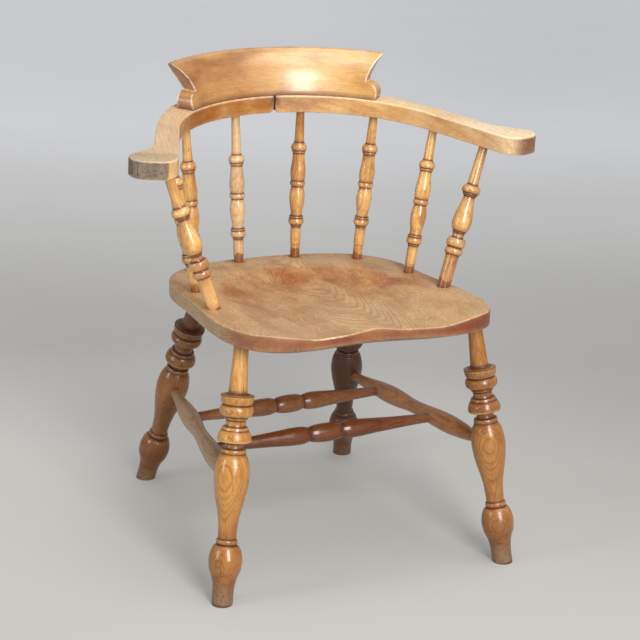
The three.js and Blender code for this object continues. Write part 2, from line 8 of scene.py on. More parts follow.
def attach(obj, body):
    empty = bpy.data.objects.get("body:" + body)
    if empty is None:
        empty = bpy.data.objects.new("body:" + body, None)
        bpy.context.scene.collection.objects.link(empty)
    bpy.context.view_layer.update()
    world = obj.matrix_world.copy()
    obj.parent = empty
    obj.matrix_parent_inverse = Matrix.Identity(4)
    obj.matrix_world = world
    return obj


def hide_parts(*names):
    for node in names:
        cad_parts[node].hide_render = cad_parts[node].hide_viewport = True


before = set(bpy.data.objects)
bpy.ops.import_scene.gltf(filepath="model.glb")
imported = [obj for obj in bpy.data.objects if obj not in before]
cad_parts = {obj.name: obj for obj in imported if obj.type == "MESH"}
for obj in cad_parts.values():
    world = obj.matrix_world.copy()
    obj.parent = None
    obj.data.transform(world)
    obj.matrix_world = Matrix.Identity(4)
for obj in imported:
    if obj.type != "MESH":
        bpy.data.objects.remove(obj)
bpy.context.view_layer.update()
print("chair frame in")

frameShift = Vector((0.0046985, -0.0003135, 0.0))  # from the chair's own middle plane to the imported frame
cameraSpot = Vector((-1.419352, -3.220794, 1.523864)) + frameShift
mergeReach = 0.000002  # points closer than this become one
closeReach = 0.00001  # lengths under this count as nothing

# curves and places that several pieces share
seatShape = {
    "height": 0.444, "tilt": math.radians(-2.9), "halfWidth": 0.240, "waists": {1: 0.224, -1: 0.231},
    "backReach": 0.226, "frontReach": 0.297, "thickness": 0.040, "band": 0.027, "bevelInset": 0.034,
    "topRound": 0.0025, "lowRound": 0.0025, "frontBow": 0.019, "dishFlat": 0.52,
    "dishDepth": 0.013, "dishHalfWidth": 0.192, "dishBackReach": 0.158, "hollowDepth": 0.011,
    "pommelHeight": 0.005, "pommelHalfWidth": 0.030,
    "aroundCount": 320, "ringCount": 60, "ringSpread": 1.15, "topSteps": 5, "lowSteps": 3,
    "lowTurn": math.radians(70), "bevelSteps": 5, "bevelCurve": 0.8, "underSteps": 24, "outlineSteps": 60,
}
bowShape = {
    "height": 0.727, "tilt": math.radians(2.7), "thickness": 0.031, "innerRadius": 0.247,
    "centreY": -0.044, "backWidth": 0.052, "outerEnd": math.radians(52), "armWidth": 0.041,
    "armLength": 0.208, "splay": math.radians(20), "handLength": 0.076, "handCorner": 0.030,
    "jointOffset": 0.007, "jointGap": 0.0026, "jointCorner": 0.009, "topRound": 0.0028, "lowRound": 0.0045,
    "arrisAngle": math.radians(50),
}
sides = (("left", 1), ("right", -1))  # the sitter's sides

seatPlace = (Matrix.Translation(frameShift + Vector((0, 0, seatShape["height"])))
             @ Matrix.Rotation(seatShape["tilt"], 4, "X"))
bowPlace = (Matrix.Translation(frameShift + Vector((0, 0, bowShape["height"])))
            @ Matrix.Rotation(bowShape["tilt"], 4, "X"))


def smoothRise(value, low, high):
    share = min(1.0, max(0.0, (value - low) / (high - low)))
    return share * share * (3 - 2 * share)


def blendOf(a, b, share):
    return a + (b - a) * share


def dishShare(x, y):
    across = x / seatShape["dishHalfWidth"]
    back = seatShape["dishBackReach"]
    behind = max(0.0, y + back / 4) / (back * 1.25)
    return 1 - smoothRise(math.hypot(across, behind), seatShape["dishFlat"], 1.0)


def dishAt(x, y):
    frontness = smoothRise(-y, 0, seatShape["frontReach"])
    depth = blendOf(seatShape["dishDepth"], seatShape["hollowDepth"], frontness)
    pommel = seatShape["pommelHeight"] * math.exp(-((x / seatShape["pommelHalfWidth"]) ** 2)) * frontness
    return depth * dishShare(x, y) - pommel


def onSeat(x, y):
    return seatPlace @ Vector((x, y, -dishAt(x, y)))


def underBow(x, y):
    return bowPlace @ Vector((x, y, -bowShape["thickness"]))


armWay = Vector((math.sin(bowShape["splay"]), -math.cos(bowShape["splay"]), 0))  # forwards along an arm
outWay = Vector((math.cos(bowShape["splay"]), math.sin(bowShape["splay"]), 0))
bowCentre = Vector((0, bowShape["centreY"], 0))
armStart = bowCentre + outWay * bowShape["innerRadius"]


def armPoint(along, out):
    return armStart + armWay * along + outWay * out


def bezier(a, b, c, d, count):
    ends = [Vector((p[0], p[1], 0)) for p in (a, b, c, d)]
    return [Vector(p) for p in geometry.interpolate_bezier(*ends, count)]


def monotoneRun(points, spacing):  # a smooth run through (along, radius) points that never overshoots them
    rises = [(b[1] - a[1]) / (b[0] - a[0]) for a, b in zip(points, points[1:])]
    inner = [2 * p * q / (p + q) if p * q > 0 else 0.0 for p, q in zip(rises, rises[1:])]
    slopes = [rises[0]] + inner + [rises[-1]]
    run = []
    for index, (a, b) in enumerate(zip(points, points[1:])):
        span = b[0] - a[0]
        count = max(1, round(math.dist(a, b) / spacing))
        for step in range(count):
            t = step / count
            value = (a[1] * (1 + 2 * t) * (1 - t) ** 2 + slopes[index] * span * t * (1 - t) ** 2
                     + b[1] * t * t * (3 - 2 * t) + slopes[index + 1] * span * t * t * (t - 1))
            run.append((a[0] + span * t, value))
    return run + [points[-1]]


# helpers for the meshes
def startMesh():
    bm = bmesh.new()
    for layer in ("grain", "handlingAndShade", "patches"):
        bm.verts.layers.float_vector.new(layer)
    return bm


def layersOf(bm):  # wood direction; grime, rub and tone; stain, bleaching and weathering. Grime and tone also carry painted shade, rub a painted highlight on some arrises, and bleaching painted sheen and light in places
    return [bm.verts.layers.float_vector[layer] for layer in ("grain", "handlingAndShade", "patches")]


def finishPiece(bm, pieceName, node, material, sharpAngle=38):
    bmesh.ops.remove_doubles(bm, verts=bm.verts, dist=mergeReach)
    bmesh.ops.recalc_face_normals(bm, faces=bm.faces)
    for face in bm.faces:
        face.smooth = True
    for edge in bm.edges:
        edge.smooth = not edge.is_manifold or edge.calc_face_angle() < math.radians(sharpAngle)
    mesh = bpy.data.meshes.new(pieceName)
    bm.to_mesh(mesh)
    bm.free()
    mesh.materials.append(material)
    piece = bpy.data.objects.new(pieceName, mesh)
    bpy.context.scene.collection.objects.link(piece)
    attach(piece, "root")
    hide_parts(node)


def wholeOf(bm):
    return bm.verts[:] + bm.edges[:] + bm.faces[:]


def roundEdges(bm, edges, offset, segments, clamped=False):
    bmesh.ops.bevel(bm, geom=edges, offset=offset, offset_type="OFFSET", segments=segments, profile=0.5,
                    affect="EDGES", clamp_overlap=clamped, material=-1)


def markArrises(bm, reach, rubShare):  # rub on the arrises that stand out
    handlingAndShade = layersOf(bm)[1]
    for vert in bm.verts:
        angles = [edge.calc_face_angle_signed(0.0) for edge in vert.link_edges if edge.is_manifold]
        bend = max(angles, key=abs, default=0.0) / reach
        value = vert[handlingAndShade]
        value.y = min(1.0, value.y + max(0.0, bend) * rubShare)
        vert[handlingAndShade] = value


def widenRubAndHighlight(bm, share):  # carries the rub of an arris, with its painted highlight, on to the verts beside it
    handlingAndShade = layersOf(bm)[1]
    beside = {vert: max(edge.other_vert(vert)[handlingAndShade].y for edge in vert.link_edges) for vert in bm.verts}
    for vert, amount in beside.items():
        value = vert[handlingAndShade]
        value.y = max(value.y, amount * share)
        vert[handlingAndShade] = value


# wood finishes
def paint(code):
    channels = [int(code[i:i + 2], 16) / 255 for i in (0, 2, 4)]
    return tuple(c / 12.92 if c <= 0.04045 else ((c + 0.055) / 1.055) ** 2.4 for c in channels) + (1.0,)


def newNode(tree, kind, sockets=None, **options):
    node = tree.nodes.new("ShaderNode" + kind)
    for option, value in options.items():
        setattr(node, option, value)
    for socket, value in (sockets or {}).items():
        if isinstance(value, bpy.types.NodeSocket):
            tree.links.new(value, node.inputs[socket])
        else:
            node.inputs[socket].default_value = value
    return node


def maths(tree, operation, *values, clamp=False):
    return newNode(tree, "Math", dict(enumerate(values)), operation=operation, use_clamp=clamp).outputs[0]


def stretched(tree, vector, scale):
    return newNode(tree, "VectorMath", {0: vector, 1: scale}, operation="MULTIPLY").outputs[0]


def mixed(tree, factor, first, second, blend="MIX"):
    node = newNode(tree, "Mix", {0: factor, 6: first, 7: second}, data_type="RGBA", blend_type=blend)
    return node.outputs[2]


def ranged(tree, value, low, high, newLow, newHigh):
    sockets = {"Value": value, "From Min": low, "From Max": high, "To Min": newLow, "To Max": newHigh}
    return newNode(tree, "MapRange", sockets).outputs[0]


def noiseAt(tree, vector, scale, detail=2.0, roughness=0.5, output="Fac"):
    sockets = {"Vector": vector, "Scale": scale, "Detail": detail, "Roughness": roughness}
    return newNode(tree, "TexNoise", sockets).outputs[output]


def toneRamp(tree, value, stops):
    ramp = newNode(tree, "ValToRGB", {"Fac": value})
    elements = ramp.color_ramp.elements
    while len(elements) < len(stops):
        elements.new(0.5)
    for element, (position, level) in zip(elements, stops):
        element.position = position
        element.color = (level, level, level, 1) if isinstance(level, float) else paint(level)
    return ramp.outputs["Color"]


def greyOf(tree, level):
    return newNode(tree, "CombineColor", {0: level, 1: level, 2: level}).outputs[0]


def emptyMaterial(name):
    material = bpy.data.materials.new(name)
    material.use_nodes = True
    material.node_tree.nodes.clear()
    return material, material.node_tree


woodDefaults = {
    "ringSpacing": 0.0042, "ringShow": 0.5, "bandShow": 0.3, "sway": 0.012, "swayScale": 9.0, "ripple": 1.4,
    "yearTones": [(0.0, 0.7), (0.09, 0.25), (0.45, 0.08), (0.78, 0.4), (0.94, 1.0), (1.0, 0.7)],
    "fibreShow": 0.16, "fibreScale": 1100.0, "fibreStretch": 0.035,
    "poreShow": 0.4, "fleckShow": 0.3, "rayShow": 0.0,
    "pores": (1500.0, 0.07, 0.5, 0.6, 0.7),  # scale, shortening along the grain, roughness, where they set in
    "flecks": (420.0, 0.16, 0.4, 0.66, 0.74), "rays": (520.0, 0.2, 0.5, 0.62, 0.72),
    "blotchShow": 0.4, "blotchScale": 11.0, "stainFloor": 0.25, "cloudShow": 0.4, "cloudScale": 16.0,
    "paleShow": 0.15, "patchScale": 140.0, "speckleScale": 300.0,
    "roughness": 0.3, "bump": 0.25, "bumpDepth": 0.0006, "coat": 0.2, "coatRoughness": 0.16, "gloss": 1.48,
    "cloud": "b99878", "grime": "4a2612", "rubbed": "ecca98", "bleached": "d8c4a4", "weathered": "85796a",
}


def woodFinish(finishName, **changes):
    look = {**woodDefaults, **changes}
    material, tree = emptyMaterial(finishName)
    grain, handlingAndShade, patches = [newNode(tree, "Attribute", attribute_name=layer).outputs["Vector"]
                                for layer in ("grain", "handlingAndShade", "patches")]
    grime, rub, tone = newNode(tree, "SeparateXYZ", {0: handlingAndShade}).outputs
    stain, bleach, weather = newNode(tree, "SeparateXYZ", {0: patches}).outputs

    def times(a, b, clamp=False):
        return maths(tree, "MULTIPLY", a, b, clamp=clamp)

    def washed(colour, amount, name, blend="MIX"):
        return mixed(tree, amount, colour, paint(look[name]), blend)

    # growth rings round a pith that lies outside the piece, bent by a slow sway
    slow = noiseAt(tree, stretched(tree, grain, (1, 1, 0.3)), look["swayScale"], 1.5, output="Color")
    bent = newNode(tree, "VectorMath", {0: slow, 1: (look["sway"], look["sway"], 0), 2: grain},
                   operation="MULTIPLY_ADD").outputs[0]
    flat = stretched(tree, bent, (1, 1, 0))
    fromPith = newNode(tree, "VectorMath", {0: flat}, operation="LENGTH").outputs["Value"]
    lengthwise = newNode(tree, "SeparateXYZ", {0: grain}).outputs[2]
    years = newNode(tree, "CombineXYZ", {"X": fromPith, "Z": times(lengthwise, 0.02)}).outputs[0]
    bands = noiseAt(tree, years, 0.5 / look["ringSpacing"], 3.0, 0.7)
    saw = newNode(tree, "TexWave", {
        "Vector": stretched(tree, bent, (1, 1, 0.2)), "Scale": 2 * math.pi / (20 * look["ringSpacing"]),
        "Distortion": look["ripple"], "Detail": 2.0, "Detail Scale": 0.9, "Detail Roughness": 0.55,
    }, wave_type="RINGS", rings_direction="Z", wave_profile="SAW").outputs["Fac"]
    rings = toneRamp(tree, saw, look["yearTones"])
    show = look["ringShow"]
    ringAmount = times(rings, ranged(tree, bands, 0.35, 0.65, 0.35 * show, 1.25 * show))

    def marks(kind):  # short marks that run with the fibres
        scale, shortening, rough, low, high = look[kind]
        field = noiseAt(tree, stretched(tree, bent, (1, 1, shortening)), scale, 1.0, rough)
        return ranged(tree, field, low, high, 0.0, 1.0)

    pores, flecks, rays = [marks(kind) for kind in ("pores", "flecks", "rays")]
    fibre = noiseAt(tree, stretched(tree, bent, (1, 1, look["fibreStretch"])), look["fibreScale"], 2.0, 0.6)
    blotch = noiseAt(tree, stretched(tree, grain, (1, 1, 0.5)), look["blotchScale"], 3.0, 0.55)
    cloud = noiseAt(tree, stretched(tree, grain, (1, 1, 0.6)), look["cloudScale"], 4.0, 0.6)
    patchy = noiseAt(tree, grain, look["patchScale"], 3.0, 0.6)
    speckle = noiseAt(tree, grain, look["speckleScale"], 3.0, 0.75)

    bandAmount = ranged(tree, bands, 0.35, 0.7, 0.0, look["bandShow"])
    colour = mixed(tree, bandAmount, paint(look["pale"]), paint(look["middle"]))
    stained = maths(tree, "ADD", ranged(tree, blotch, 0.48, 0.7, 0.0, look["blotchShow"]),
                    times(stain, ranged(tree, blotch, 0.38, 0.6, look["stainFloor"], 1.05)), clamp=True)
    colour = washed(colour, stained, "stain")
    colour = washed(colour, ranged(tree, cloud, 0.46, 0.64, 0.0, look["cloudShow"]), "cloud", "MULTIPLY")
    # bleaching pales the wood: real bleaching in most places, a painted sheen on the seat's front and one
    # spindle, and painted light on one leg's neck
    paled = maths(tree, "ADD", times(bleach, ranged(tree, patchy, 0.35, 0.6, 0.65, 1.0)),
                  ranged(tree, cloud, 0.46, 0.34, 0.0, look["paleShow"]), clamp=True)
    colour = washed(colour, paled, "bleached")
    colour = washed(colour, ringAmount, "deep")
    streak = ranged(tree, fibre, 0.3, 0.7, 1 - look["fibreShow"], 1 + look["fibreShow"] * 0.6)
    colour = mixed(tree, 1.0, colour, greyOf(tree, streak), "MULTIPLY")
    darkBits = maths(tree, "MAXIMUM", times(pores, look["poreShow"]), times(flecks, look["fleckShow"]))
    colour = washed(colour, darkBits, "grime")
    colour = washed(colour, times(rays, look["rayShow"]), "rubbed")
    # tone darkens with the dark colour: partly the wood's own tone, partly painted shade on the seat's band,
    # corner and underside and on the back legs
    colour = washed(colour, tone, "dark", "MULTIPLY")

    # handling: weathered end grain with pits, rubbed high places, grime in hollows; the grime also holds
    # painted shade on the back legs, and the rub a painted highlight on the crest's arrises
    greyed = ranged(tree, maths(tree, "ADD", weather, times(patchy, 0.6)), 0.6, 1.1, 0.0, 0.95)
    pitted = times(weather, ranged(tree, speckle, 0.5, 0.6, 0.0, 0.9), clamp=True)
    rubbed = times(rub, ranged(tree, patchy, 0.35, 0.6, 0.3, 0.85), clamp=True)
    dirtAndShade = times(grime, ranged(tree, patchy, 0.3, 0.65, 0.75, 1.0), clamp=True)
    for amount, name in ((greyed, "weathered"), (pitted, "grime"), (rubbed, "rubbed"), (dirtAndShade, "grime")):
        colour = washed(colour, amount, name)

    worn = maths(tree, "ADD", times(paled, 0.22), times(greyed, 0.4))
    roughness = ranged(tree, fibre, 0.3, 0.7, look["roughness"] - 0.04, look["roughness"] + 0.06)
    roughness = maths(tree, "ADD", roughness, times(dirtAndShade, 0.3))
    roughness = maths(tree, "ADD", roughness, ranged(tree, blotch, 0.3, 0.7, -0.05, 0.1))
    roughness = maths(tree, "ADD", roughness, worn, clamp=True)
    height = times(fibre, 0.35)
    for field, depth in ((pores, 0.5), (rings, 0.2), (pitted, 1.6)):
        height = maths(tree, "SUBTRACT", height, times(field, depth))
    height = maths(tree, "ADD", height, times(patchy, 0.7))
    sockets = {"Height": height, "Strength": look["bump"], "Distance": look["bumpDepth"]}
    normal = newNode(tree, "Bump", sockets)
    shader = newNode(tree, "BsdfPrincipled", {
        "Base Color": colour, "Roughness": roughness, "Normal": normal.outputs[0], "IOR": look["gloss"],
        "Coat Weight": look["coat"], "Coat Roughness": look["coatRoughness"],
    }).outputs[0]
    newNode(tree, "OutputMaterial", {"Surface": shader})
    return material


# the bleached colour also paints a sheen on the right inner spindle
uprightFinish = woodFinish("paleTurnedWood", pale="e3b36a", middle="d29a52", deep="9c602c", stain="b07434",
                           dark="a2785e", grime="5c2c12", ringShow=0.42, ringSpacing=0.0035, roughness=0.24,
                           coat=0.7, blotchShow=0.65, blotchScale=24.0, cloudShow=0.7, cloud="b48a58",
                           cloudScale=26.0, poreShow=0.3, fleckShow=0.5)
bowFinish = woodFinish("sawnBowWood", pale="deab60", middle="d0964c", deep="a8702e", stain="b0722e",
                       stainFloor=0.7, dark="945c30", ringShow=0.36, ringSpacing=0.007, sway=0.022,
                       swayScale=6.0, roughness=0.32, coat=0.25, blotchShow=0.5, blotchScale=20.0,
                       cloudShow=0.65, cloud="b8925c", cloudScale=20.0, paleShow=0.25, poreShow=0.3,
                       rubbed="f6e2c0", weathered="5f574d", bleached="e6d2b0")
# the rubbed colour paints worn arrises and a highlight along them
crestFinish = woodFinish("crestWood", pale="e4b46a", middle="cc964e", deep="a06a2c", stain="98581a",
                         dark="9a6640", ringShow=0.3, ringSpacing=0.005, sway=0.022, swayScale=6.0,
                         roughness=0.34, coat=1.0, coatRoughness=0.27, blotchShow=0.45, blotchScale=20.0,
                         cloudShow=0.5, cloud="b8925c", cloudScale=24.0, paleShow=0.25, poreShow=0.25,
                         rubbed="f8e8cc")
# the bleached colour pales the rim and paints a sheen on the front of the top; the dark colour gives tone and
# painted shade on the band and underside
seatFinish = woodFinish("seatPlankWood", pale="c69860", middle="ae8048", deep="704420", stain="a6642a",
                        fibreShow=0.24, dark="a86222", bleached="c6aa84", ringShow=0.58, ringSpacing=0.0027,
                        sway=0.009, swayScale=6.0, ripple=0.9, blotchShow=0.5, blotchScale=17.0,
                        cloudShow=0.5, cloudScale=26.0, cloud="b08a68", paleShow=0.35, roughness=0.34,
                        coat=0.25, coatRoughness=0.3, poreShow=0.5, fleckShow=0.5, rayShow=0.32,
                        rubbed="ead4b2")
# the bleached colour pales the weathered feet and paints light on the front_right leg's neck; the dark colour
# gives the legs' tone and the painted shade on the back legs
legFinish = woodFinish("turnedLegWood", pale="d69c4c", middle="c4863a", deep="743c14", stain="a06026",
                       dark="95705a", ringShow=0.65, ringSpacing=0.0024, roughness=0.24, coat=0.4,
                       fleckShow=0.5, rayShow=0.22, blotchShow=0.55, cloudShow=0.5, rubbed="dfb981",
                       weathered="80664a", bleached="eec07e", poreShow=0.35)
stretcherFinish = woodFinish("stretcherWood", pale="b67e48", middle="9c6436", deep="5a3010", stain="804a24",
                             dark="8c6046", bleached="b79a7a", ringSpacing=0.0032, roughness=0.26, coat=0.35,
                             fleckShow=0.4, rayShow=0.3, cloudShow=0.5, rubbed="c09468")
dowelFinish = woodFinish("dowelWood", pale="d9ba8c", middle="cfae80", deep="b08c5c", stain="c09c6c",
                         dark="8a6a52", ringShow=0.3, roughness=0.6, coat=0.0)
print("finishes made")

# legs, stretchers, spindles and arm supports, all turned from a profile
plain = [(0, 0), (1, 0)]  # no wear, soot, shade or paling from end to end
turning = {
    "wobble": 0.0003, "wobbleScale": 30, "raggedScale": 60, "hollowGrime": 0.8, "endGrime": 0.8,
    "crownRub": 0.35, "rubLimit": 0.5, "besideReach": 3, "besideLimit": 0.45, "pithDrift": 0.008,
    "grainDrift": 3, "wobbleFrom": 0.002,
}


def profileOf(runs, length, radius, spacing, notch):  # every start of a run is cut in with a fine dark line
    profile = []
    lines = []
    for run in runs:
        points = monotoneRun([(along * length, wide * radius) for along, wide in run], spacing)
        if profile:
            cut = ((profile[-1][0] + points[0][0]) / 2, min(profile[-1][1], points[0][1]) - notch)
            profile.append(cut)
            lines.append(cut[0])
        profile += points
    return profile, lines


def toneAlong(run, share):
    for a, b in zip(run, run[1:]):
        if share <= b[0]:
            return blendOf(a[1], b[1], smoothRise(share, a[0], b[0]))
    return run[-1][1]


def turnPiece(profile, lines, start, end, look, seed):
    bm = startMesh()
    grain, handlingAndShade, patches = layersOf(bm)
    rail = [bm.verts.new((radius, 0, along)) for along, radius in profile]
    length = (end - start).length
    t = turning

    def nearLines(along, reach):
        return sum(math.exp(-(((along - at) / reach) ** 2)) for at in lines)

    for vert, (along, radius) in zip(rail, profile):
        near = [other for at, other in profile if abs(at - along) < look["hollowReach"]]
        hollow = (sum(near) / len(near) - radius) / look["hollowDepth"]
        footEnd = 1 - smoothRise(along, 0.0, look["ends"][0])
        headEnd = smoothRise(along, length - look["ends"][1], length)
        grime = max(0.0, hollow) * t["hollowGrime"] + nearLines(along, look["lineWidth"]) * look["lineShow"]
        grime += t["endGrime"] * max(footEnd, headEnd)
        beside = nearLines(along, look["lineWidth"] * t["besideReach"]) * look["besideTone"]
        vert[handlingAndShade] = (min(1.0, grime), min(t["rubLimit"], max(0.0, -hollow * t["crownRub"])),
                          min(t["besideLimit"], beside))
    rail = [bm.verts.new((0, 0, profile[0][0]))] + rail + [bm.verts.new((0, 0, profile[-1][0]))]
    edges = [bm.edges.new(pair) for pair in zip(rail, rail[1:])]
    bmesh.ops.spin(bm, geom=rail + edges, cent=(0, 0, 0), axis=(0, 0, 1), angle=2 * math.pi,
                   steps=look["steps"], use_merge=True)
    bmesh.ops.remove_doubles(bm, verts=bm.verts, dist=mergeReach)
    leaning = Vector((0, 0, 1)).rotation_difference(end - start)
    place = Matrix.Translation(start) @ leaning.to_matrix().to_4x4()
    seen = place.inverted().to_3x3() @ (cameraSpot - start)
    turn = Matrix.Rotation(look["facing"] - math.atan2(seen.y, seen.x), 4, "Z")
    rng = random.Random(seed)
    drift = Vector((look["pith"], rng.uniform(-t["pithDrift"], t["pithDrift"]),
                    rng.uniform(-t["grainDrift"], t["grainDrift"])))
    for vert in bm.verts:
        local = turn @ vert.co
        vert[grain] = local + drift
        ragged = noise.noise(vert[grain] * t["raggedScale"]) * look["ragged"]
        share = (local.z + ragged) / length
        value = vert[handlingAndShade]
        value.z = min(1.0, value.z + toneAlong(look["tones"], share))
        value.x = min(1.0, value.x + toneAlong(look["sootAndShade"], share))
        vert[handlingAndShade] = value
        vert[patches] = (0.0, toneAlong(look["paling"], share), toneAlong(look["wear"], share))
        side = Vector((vert.co.x, vert.co.y, 0))
        if side.length > t["wobbleFrom"]:
            vert.co += side.normalized() * noise.noise(vert[grain] * t["wobbleScale"]) * t["wobble"]
    bmesh.ops.transform(bm, matrix=place, verts=bm.verts)
    return bm


legShape = {
    "radius": 0.0295, "tenonRadius": 0.0127, "tenonDepth": 0.021, "shoulder": 0.012, "spacing": 0.0009,
    "notch": 0.0004, "toeBelow": 0.03, "footRound": 0.0009, "cutMerge": 0.0004, "neckSteps": 10,
    "frontTop": (0.889, -0.717), "frontSplay": (0.048, -0.066),  # tops in shares of the seat's reach
    "backTop": (0.621, 0.681), "backSplay": (0.054, 0.125),
    "runs": [  # share of the length, share of the radius, from the foot up
        [(0, .595), (.03, .592), (.06, .603), (.09, .655), (.113, .756), (.141, .905), (.174, .955),
         (.205, .885), (.228, .755), (.238, .6)],
        [(.2405, .565), (.248, .61), (.2545, .605), (.2575, .585), (.2615, .53)],
        [(.2625, .52), (.28, .525), (.325, .565), (.375, .685), (.42, .83), (.461, .936), (.51, 1),
         (.55, .95), (.577, .855), (.592, .745), (.5985, .69)],
        [(.6005, .7), (.608, .705), (.6145, .685), (.6175, .655)],
        [(.6185, .62), (.6225, .51), (.632, .485), (.6435, .475)],
        [(.6445, .5), (.6455, .86), (.6475, .925), (.6545, .955), (.668, .935), (.6815, .86), (.6905, .775)],
        [(.6925, .765), (.698, .74), (.7035, .71), (.7055, .62)],
        [(.7065, .585), (.718, .555), (.729, .565)],
        [(.7305, .56), (.733, .63), (.7365, .66), (.7405, .655)],
        [(.7425, .67), (.747, .8), (.758, .925), (.77, .95), (.782, .9), (.789, .81)],
        [(.7915, .8), (.7945, .85), (.808, .915), (.8265, .945)],
        [(.8275, .93), (.8305, .75), (.8335, .6), (.8375, .53)],
    ],
    "look": {"steps": 72, "hollowReach": 0.004, "hollowDepth": 0.0022, "lineWidth": 0.0009, "lineShow": 0.9,
             "besideTone": 0.2, "ends": (0.003, 0.005), "pith": 0.05, "ragged": 0.02,
             "wear": [(0, .75), (.06, .6), (.1, .3), (.14, .1), (.2, 0), (1, 0)]},
    # darker along each leg, from the foot up: the darkening of the back legs and of the front_left leg's neck
    # is painted shade under the seat
    "tones": {
        "front_right": [(0, 1), (.08, .85), (.15, .6), (.25, .6), (.35, .32), (.55, .28), (.62, .5),
                        (.67, .15), (.74, .2), (.8, .35), (.83, .2), (.87, .08), (1, .08)],
        "front_left": [(0, 1), (.08, .95), (.16, .65), (.25, .6), (.35, .4), (.55, .55), (.63, .8), (.75, .6),
                       (.83, .45), (.87, .52), (1, .55)],
        "back_left": [(0, .9), (.15, .8), (.3, 1), (.7, 1), (1, 1)],
        "back_right": [(0, .85), (.15, .95), (.3, .75), (.5, .68), (.7, .75), (1, 1)],
    },
    "paling": [(0, .5), (.02, .1), (.05, 0), (1, 0)],
    # paler feet from weathering; on the front_right leg the paler neck is painted light
    "frontRightPalingAndNeckLight": [(0, .5), (.02, .1), (.05, 0), (.84, 0), (.87, .2), (1, .2)],
    # darker along the back legs: painted shade under the seat, on back_left also a dark stain
    "legSootAndShade": {"front_right": plain, "front_left": plain,
              "back_left": [(0, .1), (.1, .4), (.2, .7), (.3, .95), (.6, 1), (1, 1)],
              "back_right": [(0, 0), (.7, 0), (1, .4)]},
    "facings": {"front_right": 0.45, "front_left": 0.0, "back_right": 2.0, "back_left": 1.0},
}

legPlaces = {}
for side, sign in sides:
    for end in ("front", "back"):
        s = legShape
        topX, topY = s[end + "Top"][0] * seatShape["halfWidth"], s[end + "Top"][1] * seatShape[end + "Reach"]
        splayX, splayY = s[end + "Splay"]
        foot = Vector((sign * (topX + splayX), topY + splayY, 0)) + frameShift
        top = seatPlace @ Vector((sign * topX, topY, -seatShape["thickness"]))
        key = end + "_" + side
        legPlaces[key] = (foot, top)
        length = (top - foot).length
        turned, lines = profileOf(s["runs"], length, s["radius"], s["spacing"], s["notch"])
        toe = [(-s["toeBelow"], turned[0][1]), (0, turned[0][1])]
        (low, wide), high, thin = turned[-1], length - s["shoulder"], s["tenonRadius"]
        shares = [k / s["neckSteps"] for k in range(1, s["neckSteps"] + 1)]
        neck = [(blendOf(low, high, share), blendOf(wide, thin, share)) for share in shares]
        neck.append((length + s["tenonDepth"], thin))
        paling = s["frontRightPalingAndNeckLight"] if key == "front_right" else s["paling"]
        look = {**s["look"], "tones": s["tones"][key], "sootAndShade": s["legSootAndShade"][key], "paling": paling,
                "facing": s["facings"][key]}
        bm = turnPiece(toe + turned[1:] + neck, lines, foot, top, look, 11 + 7 * len(legPlaces))
        cut = bmesh.ops.bisect_plane(bm, geom=wholeOf(bm), plane_co=(0, 0, 0), plane_no=(0, 0, -1),
                                     clear_outer=True)
        cutVerts = [part for part in cut["geom_cut"] if isinstance(part, bmesh.types.BMVert)]
        bmesh.ops.remove_doubles(bm, verts=cutVerts, dist=s["cutMerge"])
        rim = [edge for edge in bm.edges if all(vert.co.z < closeReach for vert in edge.verts)]
        bmesh.ops.edgeloop_fill(bm, edges=rim)
        roundEdges(bm, rim, s["footRound"], 2)
        for vert in bm.verts:
            vert.co.z = max(vert.co.z, 0.0)  # every foot stands flat on the floor
        finishPiece(bm, end + side.capitalize() + "Leg", key + "_leg", legFinish)
print("legs turned")

stretcherShape = {
    "sideRadius": 0.017, "sideTenonRadius": 0.0084, "sideShortfall": 0.008, "crossRadius": 0.0166,
    "crossTenonRadius": 0.0082, "crossShortfall": 0.003, "spacing": 0.0022, "notch": 0.0003,
    "frontStations": {"left": 0.505, "right": 0.48}, "backStations": {"left": 0.478, "right": 0.5},
    "backShares": {"left": 0.268, "right": 0.34}, "frontShares": {"left": 0.645, "right": 0.662},
    "sideRun": [(.09, .5), (.12, .545), (.2, .73), (.27, .905), (.34, .98), (.42, .87), (.5, .72), (.58, .79),
                (.66, .94), (.735, 1), (.82, .87), (.88, .66), (.91, .52)],
    "halfRun": [(.1425, .74), (.165, .83), (.21, .94), (.27, .955), (.4, .85), (.55, .72), (.7, .61),
                (.86, .52)],
    "beadRun": [(-.1375, .74), (-.115, .85), (-.07, .955), (0, 1), (.07, .955), (.115, .85), (.1375, .74)],
    "look": {"steps": 48, "hollowReach": 0.012, "hollowDepth": 0.006, "lineWidth": 0.0012, "lineShow": 0.8,
             "besideTone": 0.2, "ends": (0.036, 0.036), "pith": 0.04, "ragged": 0.03, "wear": plain,
             "sootAndShade": plain},
    "crossEnds": (0.019, 0.019), "crossPaling": [(0, .3), (.08, 0), (.9, 0), (1, .3)],
    "facings": {"side": 0.3, "cross": 0.2},
    "sideTones": {"left": [(0, .3), (.4, 0), (1, .1)], "right": plain},
    "sidePaling": {"left": [(0, 0), (.5, .15), (1, 0)], "right": [(0, .9), (.45, .8), (.7, .9), (1, .7)]},
    "crossTones": {"back": [(0, .6), (.5, .55), (1, .7)], "front": [(0, .9), (.5, .9), (1, .75)]},
}


def stretcherPiece(name, node, kind, start, end, runs, seed, **looks):
    s = stretcherShape
    length = (end - start).length
    turned, lines = profileOf(runs, length, s[kind + "Radius"], s["spacing"], s["notch"])
    shortfall, thin = s[kind + "Shortfall"], s[kind + "TenonRadius"]
    profile = [(shortfall, thin)] + turned + [(length - shortfall, thin)]
    bm = turnPiece(profile, lines, start, end, {**s["look"], "facing": s["facings"][kind], **looks}, seed)
    finishPiece(bm, name, node, stretcherFinish)


